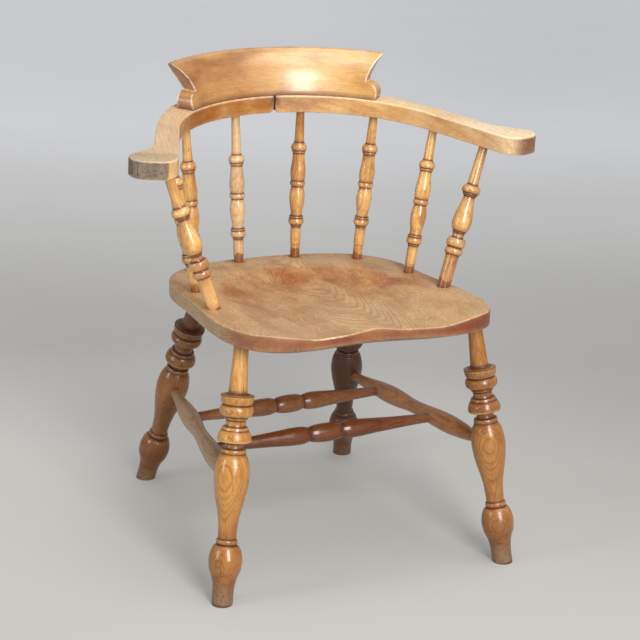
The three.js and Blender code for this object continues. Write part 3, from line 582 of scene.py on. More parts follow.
def spotOn(line, share):
    return line[0].lerp(line[1], share)


sidePlaces = {}
for index, (side, sign) in enumerate(sides):
    s = stretcherShape
    start, end = [spotOn(legPlaces[place + "_" + side], s[place + "Stations"][side])
                  for place in ("back", "front")]
    sidePlaces[side] = (start, end)
    stretcherPiece(side + "SideStretcher", side + "_stretcher", "side", start, end, [s["sideRun"]],
                   61 + index, tones=s["sideTones"][side], paling=s["sidePaling"][side])

for index, place in enumerate(("back", "front")):
    s = stretcherShape
    start, end = [spotOn(sidePlaces[side], s[place + "Shares"][side]) for side in ("right", "left")]
    inner = [(-along, wide) for along, wide in reversed(s["halfRun"])]
    runs = [[((1 + along) / 2, wide) for along, wide in run] for run in (inner, s["beadRun"], s["halfRun"])]
    stretcherPiece(place + "CrossStretcher", place + "_cross_stretcher", "cross", start, end, runs,
                   71 + index, tones=s["crossTones"][place], paling=s["crossPaling"], ends=s["crossEnds"])
print("stretchers turned")

uprightLook = {
    "lineShow": 0.85, "besideTone": 0.35, "ends": (0.0015, 0.003), "wear": plain,
    "sootAndShade": [(0, .25), (.03, .15), (.05, 0), (1, 0)],
}
uprightEnds = {"footSteps": 12, "headSteps": 8, "headStraight": 0.012, "turnSpread": 1.5}
spindleShape = {
    "radius": 0.0146, "footRadius": 0.0084, "headRadius": 0.0075, "tenonDepth": 0.013, "inset": 0.0195,
    "patternLength": (bowShape["height"] - bowShape["thickness"] - seatShape["height"]) * 1.06,
    "spacing": 0.0007, "notch": 0.0003,
    "seatShares": {"outer": (0.845, 0.114), "middle": (0.66, 0.675), "inner": (0.23, 0.896)},
    "bowAngles": {"outer": 69.6, "middle": 42.6, "inner": 13.7},
    "shifts": {"left": {"outer": 0.014, "middle": 0.058, "inner": 0.052},
               "right": {"outer": 0.016, "middle": 0.021, "inner": -0.004}},
    "runs": [
        [(.0425, .6), (.046, .635), (.1, .645), (.1655, .64)],
        [(.1665, .66), (.169, .72), (.1755, .725), (.178, .68)],
        [(.1805, .82), (.1865, .92), (.2, .97), (.2135, .93), (.2225, .86)],
        [(.2265, .86), (.2335, .895), (.238, .86)],
        [(.2405, .73), (.26, .71), (.31, .855), (.371, .965), (.41, .88), (.442, .77)],
        [(.447, .85), (.455, .93), (.464, .955), (.473, .93), (.481, .86)],
        [(.487, .85), (.51, .91), (.545, .945), (.59, .86), (.63, .78), (.673, .745)],
        [(.677, .82), (.6855, .87), (.6925, .83)],
        [(.6955, .92), (.703, .975), (.714, .985), (.728, .9), (.74, .74), (.748, .63)],
        [(.75, .615), (.77, .59), (.79, .575)],
    ],
    "look": {**uprightLook, "steps": 44, "hollowReach": 0.0026, "hollowDepth": 0.0009, "lineWidth": 0.0015,
             "pith": 0.03, "ragged": 0.009},
    "footTone": [(0, .95), (.046, .85), (.056, .2), (.1, .05), (.16, 0), (.9, 0), (1, .35)],
    "shades": {"left": {"outer": 0.03, "middle": 0.03, "inner": 0.14},
               "right": {"outer": 0.0, "middle": 0.05, "inner": 0.0}},
    # paler all along: on the right inner spindle this is a painted sheen
    "palingAndSheen": {"left": {"outer": 0.0, "middle": 0.05, "inner": 0.0},
              "right": {"outer": 0.0, "middle": 0.05, "inner": 0.55}},
}
supportShape = {
    "radius": 0.0172, "footRadius": 0.0111, "headRadius": 0.0081, "tenonDepth": 0.017, "inset": 0.023,
    "seatShare": (0.893, -0.302), "reach": 0.118, "spacing": 0.0007, "notch": 0.0003,
    "runs": [
        [(.02, .655), (.065, .675), (.1, .685), (.2, .7), (.224, .72)],
        [(.2265, .81), (.234, .89), (.249, .925), (.264, .87), (.272, .77)],
        [(.2785, .81), (.287, .93), (.3085, .98), (.328, .94), (.3385, .86)],
        [(.341, .63), (.352, .59), (.366, .595), (.3745, .64)],
        [(.3775, .67), (.3845, .705)],
        [(.388, .7), (.4, .82), (.425, .955), (.457, 1), (.5, .93), (.56, .74), (.61, .61), (.628, .585)],
        [(.6315, .67), (.637, .71), (.6395, .69)],
        [(.6425, .75), (.648, .79), (.652, .785)],
        [(.655, .88), (.664, .94), (.679, .95), (.695, .84), (.706, .69), (.711, .61)],
        [(.713, .59), (.72, .56), (.74, .55)],
    ],
    "look": {**uprightLook, "steps": 52, "hollowReach": 0.003, "hollowDepth": 0.001, "lineWidth": 0.0016,
             "pith": 0.035, "ragged": 0.008},
    "shades": {"left": 0.2, "right": 0.05}, "palingAndSheen": {"left": 0.1, "right": 0.05},
    "footTones": {"left": [(0, 1), (.045, .95), (.056, .4), (.2, .3), (.25, 0), (.93, 0), (1, .35)],
                  "right": [(0, .5), (.02, .2), (.05, 0), (1, 0)]},
}


def deepened(run, shade):
    return [(share, min(1.0, tone + shade)) for share, tone in run]


def uprightPiece(name, node, shape, start, end, patternLength, shift, tones, pale, seed):
    length = (end - start).length
    runs = [[(along + shift, wide) for along, wide in run] for run in shape["runs"]]
    turned, lines = profileOf(runs, patternLength, shape["radius"], shape["spacing"], shape["notch"])
    e, thin, slim = uprightEnds, shape["footRadius"], shape["headRadius"]
    begin, wide = turned[0]
    shares = [k / e["footSteps"] for k in range(e["footSteps"])]
    foot = [(-shape["tenonDepth"], thin)] + [(begin * share, blendOf(thin, wide, share)) for share in shares]
    head = [(length - e["headStraight"] * k / e["headSteps"], slim) for k in range(e["headSteps"], -1, -1)]
    head.append((length + shape["tenonDepth"], slim))
    look = {**shape["look"], "tones": tones, "paling": [(0, pale), (1, pale)],
            "facing": random.Random(seed).uniform(-e["turnSpread"], e["turnSpread"])}
    bm = turnPiece(foot + turned + head, lines, start, end, look, seed)
    finishPiece(bm, name, node, uprightFinish)


for side, sign in sides:
    for index, place in enumerate(("outer", "middle", "inner")):
        shape = spindleShape
        wide, back = shape["seatShares"][place]
        start = onSeat(sign * wide * seatShape["halfWidth"], back * seatShape["backReach"])
        angle = math.radians(shape["bowAngles"][place])
        radius = bowShape["innerRadius"] + shape["inset"]
        end = underBow(sign * radius * math.sin(angle), bowShape["centreY"] + radius * math.cos(angle))
        uprightPiece(side + place.capitalize() + "Spindle", side + "_" + place + "_spindle", shape,
                     start, end, shape["patternLength"], shape["shifts"][side][place],
                     deepened(shape["footTone"], shape["shades"][side][place]), shape["palingAndSheen"][side][place],
                     101 + 3 * index + sign)
    shape = supportShape
    wide, front = shape["seatShare"]
    start = onSeat(sign * wide * seatShape["halfWidth"], front * seatShape["frontReach"])
    spot = armPoint(shape["reach"], shape["inset"])
    end = underBow(sign * spot.x, spot.y)
    uprightPiece(side + "ArmSupport", side + "_arm_support", shape, start, end, (end - start).length, 0.0,
                 deepened(shape["footTones"][side], shape["shades"][side]), shape["palingAndSheen"][side], 131 + sign)
print("spindles and arm supports turned")

# seat
seatWear = {  # where the plank is worn and stained, with painted shade on the band, a corner and the underside, and a painted sheen on the front of the top; x grows to the sitter's left, y to the back
    "arrisReach": 0.5, "arrisRub": 0.25, "upper": (0.4, 0.85), "band": (0.9, 0.5),
    "dishEdge": (-0.1, 0.3), "rimEdge": (0.0, 0.2), "rimBleach": 0.3,
    "socketReach": (0.0085, 0.0145), "socketGrime": 0.6,
    "backStretch": (-0.04, 0.12), "backStain": 0.9, "rightStretch": (0.02, 0.16), "rightStain": 0.8,
    "leftStretch": (0.05, 0.14), "leftMiddle": 0.02, "leftReach": (0.04, 0.12),
    "frontStretch": (-0.04, 0.16), "frontBleach": 0.45,
    "bandToneAndShade": 0.68, "bandStain": 0.5, "cornerStretch": (0.06, 0.16), "paintedCornerShade": 0.32,
    "sidewaysBack": (-0.26, -0.16), "sidewaysOut": (0.12, 0.2), "sidewaysBleach": 0.8, "paintedUnderShade": 0.3,
    "edgeFront": -0.2, "edgeSlope": (0.3, 0.95), "edgeMiddle": -0.085, "edgeReach": 0.035,
    "pithSide": 0.02, "pithDepth": 0.125, "pithDip": 0.09,  # the pith lies under the plank
    "unevenScale": 14, "uneven": 0.0006,
}


def seatHalfOutline(waist):
    s = seatShape
    back, front, wide = s["backReach"], s["frontReach"], s["halfWidth"]
    middle = s["frontBow"] - front
    spots = [(0, back), (back * .6, back), (waist, back * .84), (waist, back * .17), (waist, -front * .12),
             (wide, -front * .3), (wide, -front * .55), (wide, -front * .84), (wide * .86, -front * .975),
             (wide * .62, -front * .984), (wide * .4, -front * .992), (wide * .24, middle), (0, middle)]
    points = bezier(*spots[:4], s["outlineSteps"])
    for start in (3, 6, 9):  # each curve starts where the last one ends
        points += bezier(*spots[start:start + 4], s["outlineSteps"])[1:]
    return points


def evenly(points, count):
    reach = [0.0]
    for a, b in zip(points, points[1:]):
        reach.append(reach[-1] + (b - a).length)
    spaced = []
    index = 0
    for step in range(count + 1):
        target = reach[-1] * step / count
        while index < len(points) - 2 and reach[index + 1] < target:
            index += 1
        share = (target - reach[index]) / (reach[index + 1] - reach[index])
        spaced.append(points[index].lerp(points[index + 1], min(1.0, share)))
    return spaced


def buildSeat():
    s = seatShape
    count = s["aroundCount"]
    left, right = [evenly(seatHalfOutline(s["waists"][sign]), count // 2) for sign in (1, -1)]
    outline = left + [Vector((-p.x, p.y, 0)) for p in reversed(right[1:-1])]
    middleY = (s["backReach"] - s["frontReach"]) / 2
    topRound, lowRound, width = s["topRound"], s["lowRound"], s["halfWidth"]
    bm = startMesh()
    grain, handlingAndShade, patches = layersOf(bm)

    def placeRing(verts, inset, heightAt):
        share = 1 - inset / width
        for vert, p in zip(verts, outline):
            x, y = p.x * share, middleY + (p.y - middleY) * share
            vert.co = (x, y, heightAt(x, y))
        return verts

    def nextRing(verts, inset, heightAt):
        edges = [bm.edges.get(pair) for pair in zip(verts, verts[1:] + verts[:1])]
        grown = set(bmesh.ops.extrude_edge_only(bm, edges=edges)["geom"])
        ordered = [next(edge.other_vert(vert) for edge in vert.link_edges if edge.other_vert(vert) in grown)
                   for vert in verts]
        return placeRing(ordered, inset, heightAt)

    base = lowRound - s["band"]
    first = placeRing(bmesh.ops.create_circle(bm, segments=count, radius=1.0, cap_ends=False)["verts"], 0,
                      lambda x, y: base)
    ring = first
    for share in (0.35, 0.7):
        ring = nextRing(ring, 0, lambda x, y: blendOf(base, -dishAt(x, y) - topRound, share))
    for step in range(s["topSteps"] + 1):
        angle = step / s["topSteps"] * math.pi / 2
        ring = nextRing(ring, topRound * (1 - math.cos(angle)),
                        lambda x, y: -dishAt(x, y) - topRound * (1 - math.sin(angle)))
    for step in range(1, s["ringCount"]):
        share = (step / s["ringCount"]) ** s["ringSpread"]
        ring = nextRing(ring, blendOf(topRound, width, share), lambda x, y: -dishAt(x, y))
    bmesh.ops.pointmerge(bm, verts=ring, merge_co=(0, middleY, -dishAt(0, middleY)))
    ring = first
    for step in range(1, s["lowSteps"] + 1):
        angle = step / s["lowSteps"] * s["lowTurn"]
        ring = nextRing(ring, lowRound * (1 - math.cos(angle)),
                        lambda x, y: base - lowRound * math.sin(angle))
    for step in range(1, s["bevelSteps"] + 1):
        share = step / s["bevelSteps"]
        drop = blendOf(s["band"], s["thickness"], share ** s["bevelCurve"])
        ring = nextRing(ring, blendOf(lowRound, s["bevelInset"], share), lambda x, y: -drop)
    for step in range(1, s["underSteps"]):
        inset = blendOf(s["bevelInset"], width, step / s["underSteps"])
        ring = nextRing(ring, inset, lambda x, y: -s["thickness"])
    bmesh.ops.pointmerge(bm, verts=ring, merge_co=(0, middleY, -s["thickness"]))
    bmesh.ops.recalc_face_normals(bm, faces=bm.faces)
    bm.normal_update()

    sockets = []
    for sign in (1, -1):
        for wide, back in spindleShape["seatShares"].values():
            sockets.append(Vector((sign * wide * s["halfWidth"], back * s["backReach"])))
        wide, front = supportShape["seatShare"]
        sockets.append(Vector((sign * wide * s["halfWidth"], front * s["frontReach"])))
    w = seatWear
    for vert in bm.verts:
        x, y, z = vert.co
        upward = smoothRise(vert.normal.z, *w["upper"])
        bandward = smoothRise(abs(vert.normal.z), *w["band"])
        dished = dishShare(x, y)
        inDish = smoothRise(dished, *w["dishEdge"])
        nearest = min((Vector((x, y)) - p).length for p in sockets)
        socketGrime = (1 - smoothRise(nearest, *w["socketReach"])) * w["socketGrime"] * upward
        backStain = w["backStain"] * smoothRise(y, *w["backStretch"]) * inDish
        rightStain = w["rightStain"] * smoothRise(-x, *w["rightStretch"]) * inDish
        leftStain = 1 - smoothRise(abs(y - w["leftMiddle"]), *w["leftReach"])
        leftStain *= smoothRise(x, *w["leftStretch"])
        sideways = smoothRise(y, *w["sidewaysBack"]) * smoothRise(-x, *w["sidewaysOut"])
        # the band is darker, partly the wood's own tone, partly painted shade; on the sitter's left, where
        # the light falls stronger, it gets more painted shade
        bandToneAndShade = w["bandToneAndShade"] + w["paintedCornerShade"] * smoothRise(x, *w["cornerStretch"])
        # the underside gets painted shade
        paintedUnderShade = w["paintedUnderShade"] if vert.normal.z < -w["band"][0] else 0.0
        vert[handlingAndShade] = (socketGrime, 0.0, bandward * bandToneAndShade * (1 - sideways) + paintedUnderShade)
        # the rim is bleached; the paler front of the top is a painted sheen
        topBleach = max((1 - smoothRise(dished, *w["rimEdge"])) * w["rimBleach"],
                        smoothRise(-y, *w["frontStretch"]) * w["frontBleach"])
        topStain = max(backStain, rightStain, leftStain)
        vert[patches] = (topStain * upward + bandward * w["bandStain"] * (1 - sideways),
                         topBleach * upward + bandward * sideways * w["sidewaysBleach"], 0.0)
        vert[grain] = (x - w["pithSide"], z + w["pithDepth"] - y * w["pithDip"], y)
        if z > base:
            vert.co.z += noise.noise(Vector((x, y, 0)) * w["unevenScale"]) * w["uneven"]
    markArrises(bm, w["arrisReach"], w["arrisRub"])
    for vert in bm.verts:  # one pale stretch of the front arris: partly wear, partly a painted highlight
        if vert.co.y < w["edgeFront"] and w["edgeSlope"][0] < vert.normal.z < w["edgeSlope"][1]:
            value = vert[handlingAndShade]
            value.y = max(value.y, math.exp(-(((vert.co.x - w["edgeMiddle"]) / w["edgeReach"]) ** 2)))
            vert[handlingAndShade] = value
    bmesh.ops.transform(bm, matrix=seatPlace, verts=bm.verts)
    finishPiece(bm, "seatPlank", "seat", seatFinish)


buildSeat()
print("seat dished")

# arm bow
handWidths = {"left": 0.071, "right": 0.081}
bowWear = {  # lengths run from the arm's start, forwards or back round the bow, or from its front end
    "arrisReach": 0.9, "arrisRub": 0.8, "facing": (0.3, 0.85), "topBleach": 0.6, "handInner": 0.3,
    "handStretch": (-0.09, -0.02), "jointReach": (0.0002, 0.0022),
    "pithOut": 0.06, "pithDepth": 0.035, "grainDrift": 0.1, "grainApart": 2,
    "armCuts": 26, "bowCuts": (23, 88, 5),  # degrees
    "right": {"innerStain": 1.2, "stainStretch": (0.0, 0.12), "handBleach": 0.2, "topTone": 0.25,
              "innerTone": 0.2, "toneStretch": (0.02, 0.14), "outerShare": 0.8, "endFacing": (0.7, 0.96),
              "endStretch": (0.15, 0.18), "topWeather": 0.52, "weatherStretch": (-0.07, -0.04)},
    "left": {"innerStain": 0.15, "backStain": 0.3, "stainStretch": (0.1, 0.25), "frontBleach": 0.4,
             "frontStretch": (0.0, 0.13), "innerBleach": 0.2, "armBleach": 0.13, "armStretch": (0.0, 0.1),
             "endFacing": (0.4, 0.75), "endStretch": (0.12, 0.16), "endTone": 0.8, "endOut": (0.008, 0.03),
             "endWeather": 0.42, "endStain": 0.9},
}


def bowOutline(handWidth, jointX):  # the plan of one bow half, round its inner edge, hand and outer edge
    b = bowShape
    outerRadius = b["innerRadius"] + b["backWidth"]
    corner, length, wide = b["handCorner"], b["armLength"], b["armWidth"]
    handBack, handFront = length - b["handLength"], length - corner

    def arc(radius, fromAngle, toAngle, skip, count):  # a long step beside the joint leaves room to round it
        angles = [blendOf(fromAngle, toAngle, k / count) for k in range(count + 1)]
        points = [bowCentre + Vector((math.cos(a), math.sin(a), 0)) * radius for a in angles]
        return points[:1] + points[skip:] if skip > 0 else points[:skip] + points[-1:]

    line = arc(b["innerRadius"], math.acos(jointX / b["innerRadius"]), b["splay"], 3, 75)
    line += bezier(armPoint(length - corner * 1.5, 0), armPoint(length - corner * 0.7, 0),
                   armPoint(length, corner * 0.3), armPoint(length, corner * 1.1), 18)
    line += bezier(armPoint(length, handWidth - corner), armPoint(length, handWidth - corner * 0.3),
                   armPoint(handFront + corner * 0.3, handWidth), armPoint(handFront, handWidth), 14)
    line += bezier(armPoint(handFront, handWidth), armPoint(handFront - corner * 0.7, handWidth),
                   armPoint(handBack + corner * 0.3, wide + corner * 0.1), armPoint(handBack - corner, wide),
                   24)[1:]
    back = arc(outerRadius, b["outerEnd"], math.acos(jointX / outerRadius), -3, 50)
    beside = back[0] + Vector((math.sin(b["outerEnd"]), -math.cos(b["outerEnd"]), 0)) * b["backWidth"]
    line += bezier(armPoint(handBack - corner, wide), armPoint(-wide, wide * 0.98), beside, back[0], 40)[1:]
    return line + back[1:]


def buildArm(side, sign, handWidth):
    b = bowShape
    jointX = sign * b["jointOffset"] + b["jointGap"] / 2
    bm = startMesh()
    grain, handlingAndShade, patches = layersOf(bm)
    rim = [bm.verts.new(p) for p in bowOutline(handWidth, jointX)]
    edges = [bm.edges.new(pair) for pair in zip(rim, rim[1:] + rim[:1])]
    top = bmesh.ops.contextual_create(bm, geom=edges)["faces"]
    grown = bmesh.ops.extrude_face_region(bm, geom=top)["geom"]
    under = [vert for vert in grown if isinstance(vert, bmesh.types.BMVert)]
    bmesh.ops.translate(bm, vec=(0, 0, -b["thickness"]), verts=under)
    bmesh.ops.recalc_face_normals(bm, faces=bm.faces)
    low = -b["thickness"] + closeReach
    lowJoint = [edge for edge in bm.edges
                if all(abs(vert.co.x - jointX) < closeReach and vert.co.z < low for vert in edge.verts)]
    roundEdges(bm, lowJoint, b["jointCorner"], 7)
    for level, offset in ((1, b["topRound"]), (-1, b["lowRound"])):
        arris = []
        for edge in bm.edges:
            a, c = [vert.co.z for vert in edge.verts]
            if (a + c + b["thickness"]) * level > 0 and abs(a - c) < b["jointCorner"]:
                if edge.calc_face_angle() > b["arrisAngle"]:
                    arris.append(edge)
        roundEdges(bm, arris, offset, 4, clamped=True)
    w, own = bowWear, bowWear[side]
    cuts = [(armPoint(b["armLength"] * (k + 0.5) / w["armCuts"], 0), armWay) for k in range(w["armCuts"])]
    for degrees in range(*w["bowCuts"]):  # cuts across the bow, so that wear and stain can fade along it
        a = math.radians(degrees)
        cuts.append((bowCentre, Vector((-math.sin(a), math.cos(a), 0))))
    for level in (-b["topRound"] * 1.5, b["lowRound"] * 1.5 - b["thickness"]):  # keeps wear to the arrises
        cuts.append((Vector((0, 0, level)), Vector((0, 0, 1))))
    for spot, way in cuts:
        bmesh.ops.bisect_plane(bm, geom=wholeOf(bm), dist=closeReach, plane_co=spot, plane_no=way)
    bm.normal_update()
    for vert in bm.verts:
        point = Vector((vert.co.x, vert.co.y, 0))
        along = (point - armStart).dot(armWay)
        out = (point - armStart).dot(outWay)
        inward = -vert.normal.dot(outWay)
        if along < 0:
            fromCentre = point - bowCentre
            along = b["innerRadius"] * (b["splay"] - math.atan2(fromCentre.y, fromCentre.x))
            out = fromCentre.length - b["innerRadius"]
            inward = -vert.normal.dot(fromCentre.normalized())
        upward = smoothRise(vert.normal.z, *w["facing"])
        inward = smoothRise(inward, *w["facing"])
        pastEnd = along - b["armLength"]
        hand = smoothRise(pastEnd, *w["handStretch"])
        forward = vert.normal.dot(armWay)
        if side == "right":
            forward += own["outerShare"] * max(0.0, vert.normal.dot(outWay))
            handEnd = smoothRise(forward, *own["endFacing"]) * smoothRise(along, *own["endStretch"])
            stain = inward * smoothRise(-along, *own["stainStretch"]) * own["innerStain"]
            bleach = upward * (w["topBleach"] + own["handBleach"] * hand)
            tone = upward * own["topTone"]
            tone += inward * smoothRise(-along, *own["toneStretch"]) * own["innerTone"]
            weather = max(handEnd, upward * own["topWeather"] * smoothRise(pastEnd, *own["weatherStretch"]))
        else:
            handEnd = smoothRise(forward, *own["endFacing"]) * smoothRise(along, *own["endStretch"])
            stain = inward * (own["innerStain"] + own["backStain"] * smoothRise(-along, *own["stainStretch"]))
            stain = max(stain, own["endStain"] * handEnd)
            bleach = upward * (w["topBleach"] + own["frontBleach"] * smoothRise(along, *own["frontStretch"]))
            bleach += inward * (own["innerBleach"] + own["armBleach"] * smoothRise(along, *own["armStretch"]))
            tone = own["endTone"] * handEnd * smoothRise(out, *own["endOut"])
            weather = own["endWeather"] * handEnd
        bleach += inward * hand * w["handInner"]
        joint = 1 - smoothRise(abs(vert.co.x - jointX), *w["jointReach"])
        vert[handlingAndShade] = (joint, 0.0, tone)
        vert[patches] = (stain, bleach * (1 - joint), weather)
        vert[grain] = (out + w["pithOut"] + along * w["grainDrift"], vert.co.z + w["pithDepth"],
                       along + w["grainApart"] * sign)
    if sign < 0:
        bmesh.ops.scale(bm, vec=(-1, 1, 1), verts=bm.verts)
        bmesh.ops.recalc_face_normals(bm, faces=bm.faces)
    markArrises(bm, w["arrisReach"], w["arrisRub"])
    bmesh.ops.transform(bm, matrix=bowPlace, verts=bm.verts)
    finishPiece(bm, side + "BowHalf", side + "_arm", bowFinish)


for side, sign in sides:
    buildArm(side, sign, handWidths[side])
print("bow sawn")

# crest rail
crestShape = {
    "height": 0.076, "baseThickness": 0.033, "topThickness": 0.009, "lean": 0.048,
    "halfAngle": math.radians(41), "rollHeight": 0.027, "notchDepth": 0.0085, "rollReach": 0.0135,
    "tipReach": 0.008, "gap": 0.0003, "edge": 0.002, "stations": 96, "depthCount": 8, "arris": 0.0016,
    "arrisAngle": math.radians(40), "footSlant": 0.0075,
}
crestWear = {
    "arrisReach": 0.6, "arrisRub": 1.0, "rubAndHighlightSpread": 0.75, "arrisWearAndHighlight": (0.2, 0.4), "ends": (0.5, 0.9),
    "back": (0.3, 0.8), "top": (0.8, 1.0), "seamGrime": 0.8, "seamReach": (0.0003, 0.0035), "stain": 0.1,
    "tone": 0.4, "endTone": 0.4, "backTone": 0.15, "leftPaler": 0.38, "leftStretch": (-0.08, 0.1),
    "endBleach": 0.35, "topBleach": 0.3, "pithOut": 0.05, "pithLean": 0.35, "pithDepth": 0.02,
    "grainApart": 5,
}


def crestRows():  # height, front radius, back radius and end reach, from the foot to the top
    c = crestShape
    foot, edge = bowShape["innerRadius"] + c["edge"], c["edge"]
    top, roll = c["gap"] + c["height"], c["gap"] + c["rollHeight"]
    frontTop, backFoot = foot + c["lean"], foot + c["baseThickness"]
    backTop = frontTop + c["topThickness"]
    slant = c["footSlant"]
    front = bezier((foot + slant, roll), (foot + slant * 2, top - c["height"] * .42),
                   (foot + c["lean"] * .52, top - c["height"] * .2), (frontTop, top - edge), 40)
    front = [Vector((foot, c["gap"], 0))] + front + [Vector((frontTop + c["topThickness"] / 3, top, 0))]
    back = bezier((backFoot, roll), (backFoot, roll * 1.3),
                  (backTop - c["lean"] * .2, top - c["height"] * .4),
                  (backTop, top - c["topThickness"] / 2), 40)
    back = [Vector((backFoot, c["gap"], 0))] + back + [Vector((backTop - c["topThickness"] / 3, top, 0))]
    reach, notch = c["rollReach"], -c["notchDepth"]
    ends = [Vector((reach - edge, c["gap"], 0))]
    ends += bezier((reach, roll * .38), (reach, roll * .86), (reach * .2, roll + edge * .9),
                   (notch, roll + edge * .99), 26)
    ends += bezier((notch, roll + edge), (notch, top - c["height"] * .4), (0, top - c["height"] * .16),
                   (c["tipReach"], top - edge), 30)
    ends += [Vector((c["tipReach"] + edge / 2, top, 0))]

    def radiusAt(line, height):
        for a, b in zip(line, line[1:]):
            if a.y - 1e-9 <= height <= b.y + 1e-9:
                return blendOf(a.x, b.x, min(1.0, max(0.0, (height - a.y) / max(1e-9, b.y - a.y))))
        return line[-1].x

    rows = [(point.y, radiusAt(front, point.y), radiusAt(back, point.y), point.x) for point in ends]
    return sorted(rows, key=lambda row: row[0])


def buildCrest():
    c = crestShape
    rows = crestRows()
    bm = startMesh()
    grain, handlingAndShade, patches = layersOf(bm)
    bmesh.ops.create_grid(bm, x_segments=c["depthCount"], y_segments=len(rows) - 1, size=0.5)
    for vert in bm.verts:
        height, frontRadius, backRadius, endReach = rows[round((vert.co.y + 0.5) * (len(rows) - 1))]
        vert[handlingAndShade] = (endReach, 0.0, 0.0)
        vert.co = (blendOf(frontRadius, backRadius, vert.co.x + 0.5), 0.0, height)
    half = c["halfAngle"]
    bmesh.ops.spin(bm, geom=wholeOf(bm), cent=(0, 0, 0), axis=(0, 0, 1), angle=2 * half, steps=c["stations"])
    for vert in bm.verts:
        radius = math.hypot(vert.co.x, vert.co.y)
        share = math.atan2(vert.co.y, vert.co.x) / (2 * half) * 2 - 1
        angle = math.pi / 2 - share * (half + math.asin(vert[handlingAndShade].x / radius))
        vert.co = (radius * math.cos(angle), radius * math.sin(angle), vert.co.z)
        vert[handlingAndShade] = (0.0, 0.0, 0.0)
    bmesh.ops.recalc_face_normals(bm, faces=bm.faces)
    sharp = [edge for edge in bm.edges if edge.is_manifold and edge.calc_face_angle() > c["arrisAngle"]]
    roundEdges(bm, sharp, c["arris"], 2, clamped=True)
    bm.normal_update()
    w = crestWear
    for vert in bm.verts:
        x, y, z = vert.co
        radius, angle = math.hypot(x, y), math.atan2(x, y)
        sideward = abs(vert.normal.dot(Vector((math.cos(angle), -math.sin(angle), 0))))
        outward = vert.normal.dot(Vector((math.sin(angle), math.cos(angle), 0)))
        endward = smoothRise(sideward, *w["ends"])
        backward = smoothRise(outward, *w["back"])
        seam = (1 - smoothRise(z, *w["seamReach"])) * w["seamGrime"]
        # the arrises between the ends and the faces are paler: partly wear, partly a painted highlight
        worn = smoothRise(min(abs(outward), sideward), *w["arrisWearAndHighlight"])
        tone = endward * w["endTone"] + backward * w["backTone"] + w["tone"]
        vert[handlingAndShade] = (seam, worn, tone - w["leftPaler"] * smoothRise(x, *w["leftStretch"]))
        bleach = endward * w["endBleach"] + smoothRise(vert.normal.z, *w["top"]) * w["topBleach"]
        vert[patches] = (w["stain"], bleach, 0.0)
        fromPith = radius - bowShape["innerRadius"] + z * w["pithLean"] + w["pithOut"]
        vert[grain] = (fromPith, z + w["pithDepth"], angle * radius + w["grainApart"])
    # pale arrises: partly rub, partly a painted highlight along them
    markArrises(bm, w["arrisReach"], w["arrisRub"])
    widenRubAndHighlight(bm, w["rubAndHighlightSpread"])
    bmesh.ops.transform(bm, matrix=bowPlace @ Matrix.Translation(bowCentre), verts=bm.verts)
    finishPiece(bm, "crestRail", "crest_rail", crestFinish)


buildCrest()
for index in range(4):
    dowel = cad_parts["crest_dowel_" + str(index + 1)]
    for materialSlot in dowel.material_slots:
        materialSlot.material = dowelFinish
print("crest shaped")

# floor, light and camera
photoCamera = {  # heading, dip and lean; the focal length is in pixels of the square frame
    "yaw": -0.4204651, "pitch": math.radians(18), "roll": 0.0376014, "focal": 2108.0, "frame": 640.0,
    "sensor": 36.0, "clipEnd": 60.0,
}
photoRight = Vector((math.cos(photoCamera["yaw"]), math.sin(photoCamera["yaw"]), 0))
photoAhead = Vector((-math.sin(photoCamera["yaw"]), math.cos(photoCamera["yaw"]), 0))
studio = {
    "floorSize": 26.0, "roughness": 0.75, "lit": 0.76, "glowShare": 0.27, "glowStretch": (0.9, 2.4),
    "sweep": [(0.0, "c9c8c5"), (0.14, "d0cfcc"), (0.23, "c2c1c0"), (0.45, "c3c3c3"), (0.56, "cfd0d3"),
              (0.75, "c8c9cd")],
    "sweepStretch": (-0.6, 6.0), "rightShade": 0.78, "rightStretch": (-0.3, 0.9), "nearStretch": (-0.5, 0.2),
    "farStretch": (0.4, 2.0), "farShare": 0.3, "mottle": (0.985, 1.015), "mottleScale": 2.0,
    "worldColour": (1.0, 0.99, 0.98, 1.0), "worldStrength": 0.3,
    "shownColour": "d0ccc6", "shownStrength": 0.6,
}
lamps = {
    "tallSoftbox": {"target": (0, 0.1, 0.6), "direction": (-0.03, -0.85, 0.43), "distance": 5.0,
                    "size": (1.6, 3.6), "power": 282, "colour": (1.0, 0.98, 0.95)},
    "topSoftbox": {"target": (0, 0, 0.5), "direction": (0.1, -0.15, 0.98), "distance": 3.6,
                   "size": (2.4, 2.4), "power": 76, "colour": (1.0, 1.0, 0.98)},
    "sideSoftbox": {"target": (0, 0, 0.5), "direction": (-0.95, -0.1, 0.3), "distance": 4.0,
                    "size": (1.0, 1.8), "power": 36, "colour": (1.0, 1.0, 0.99)},
}


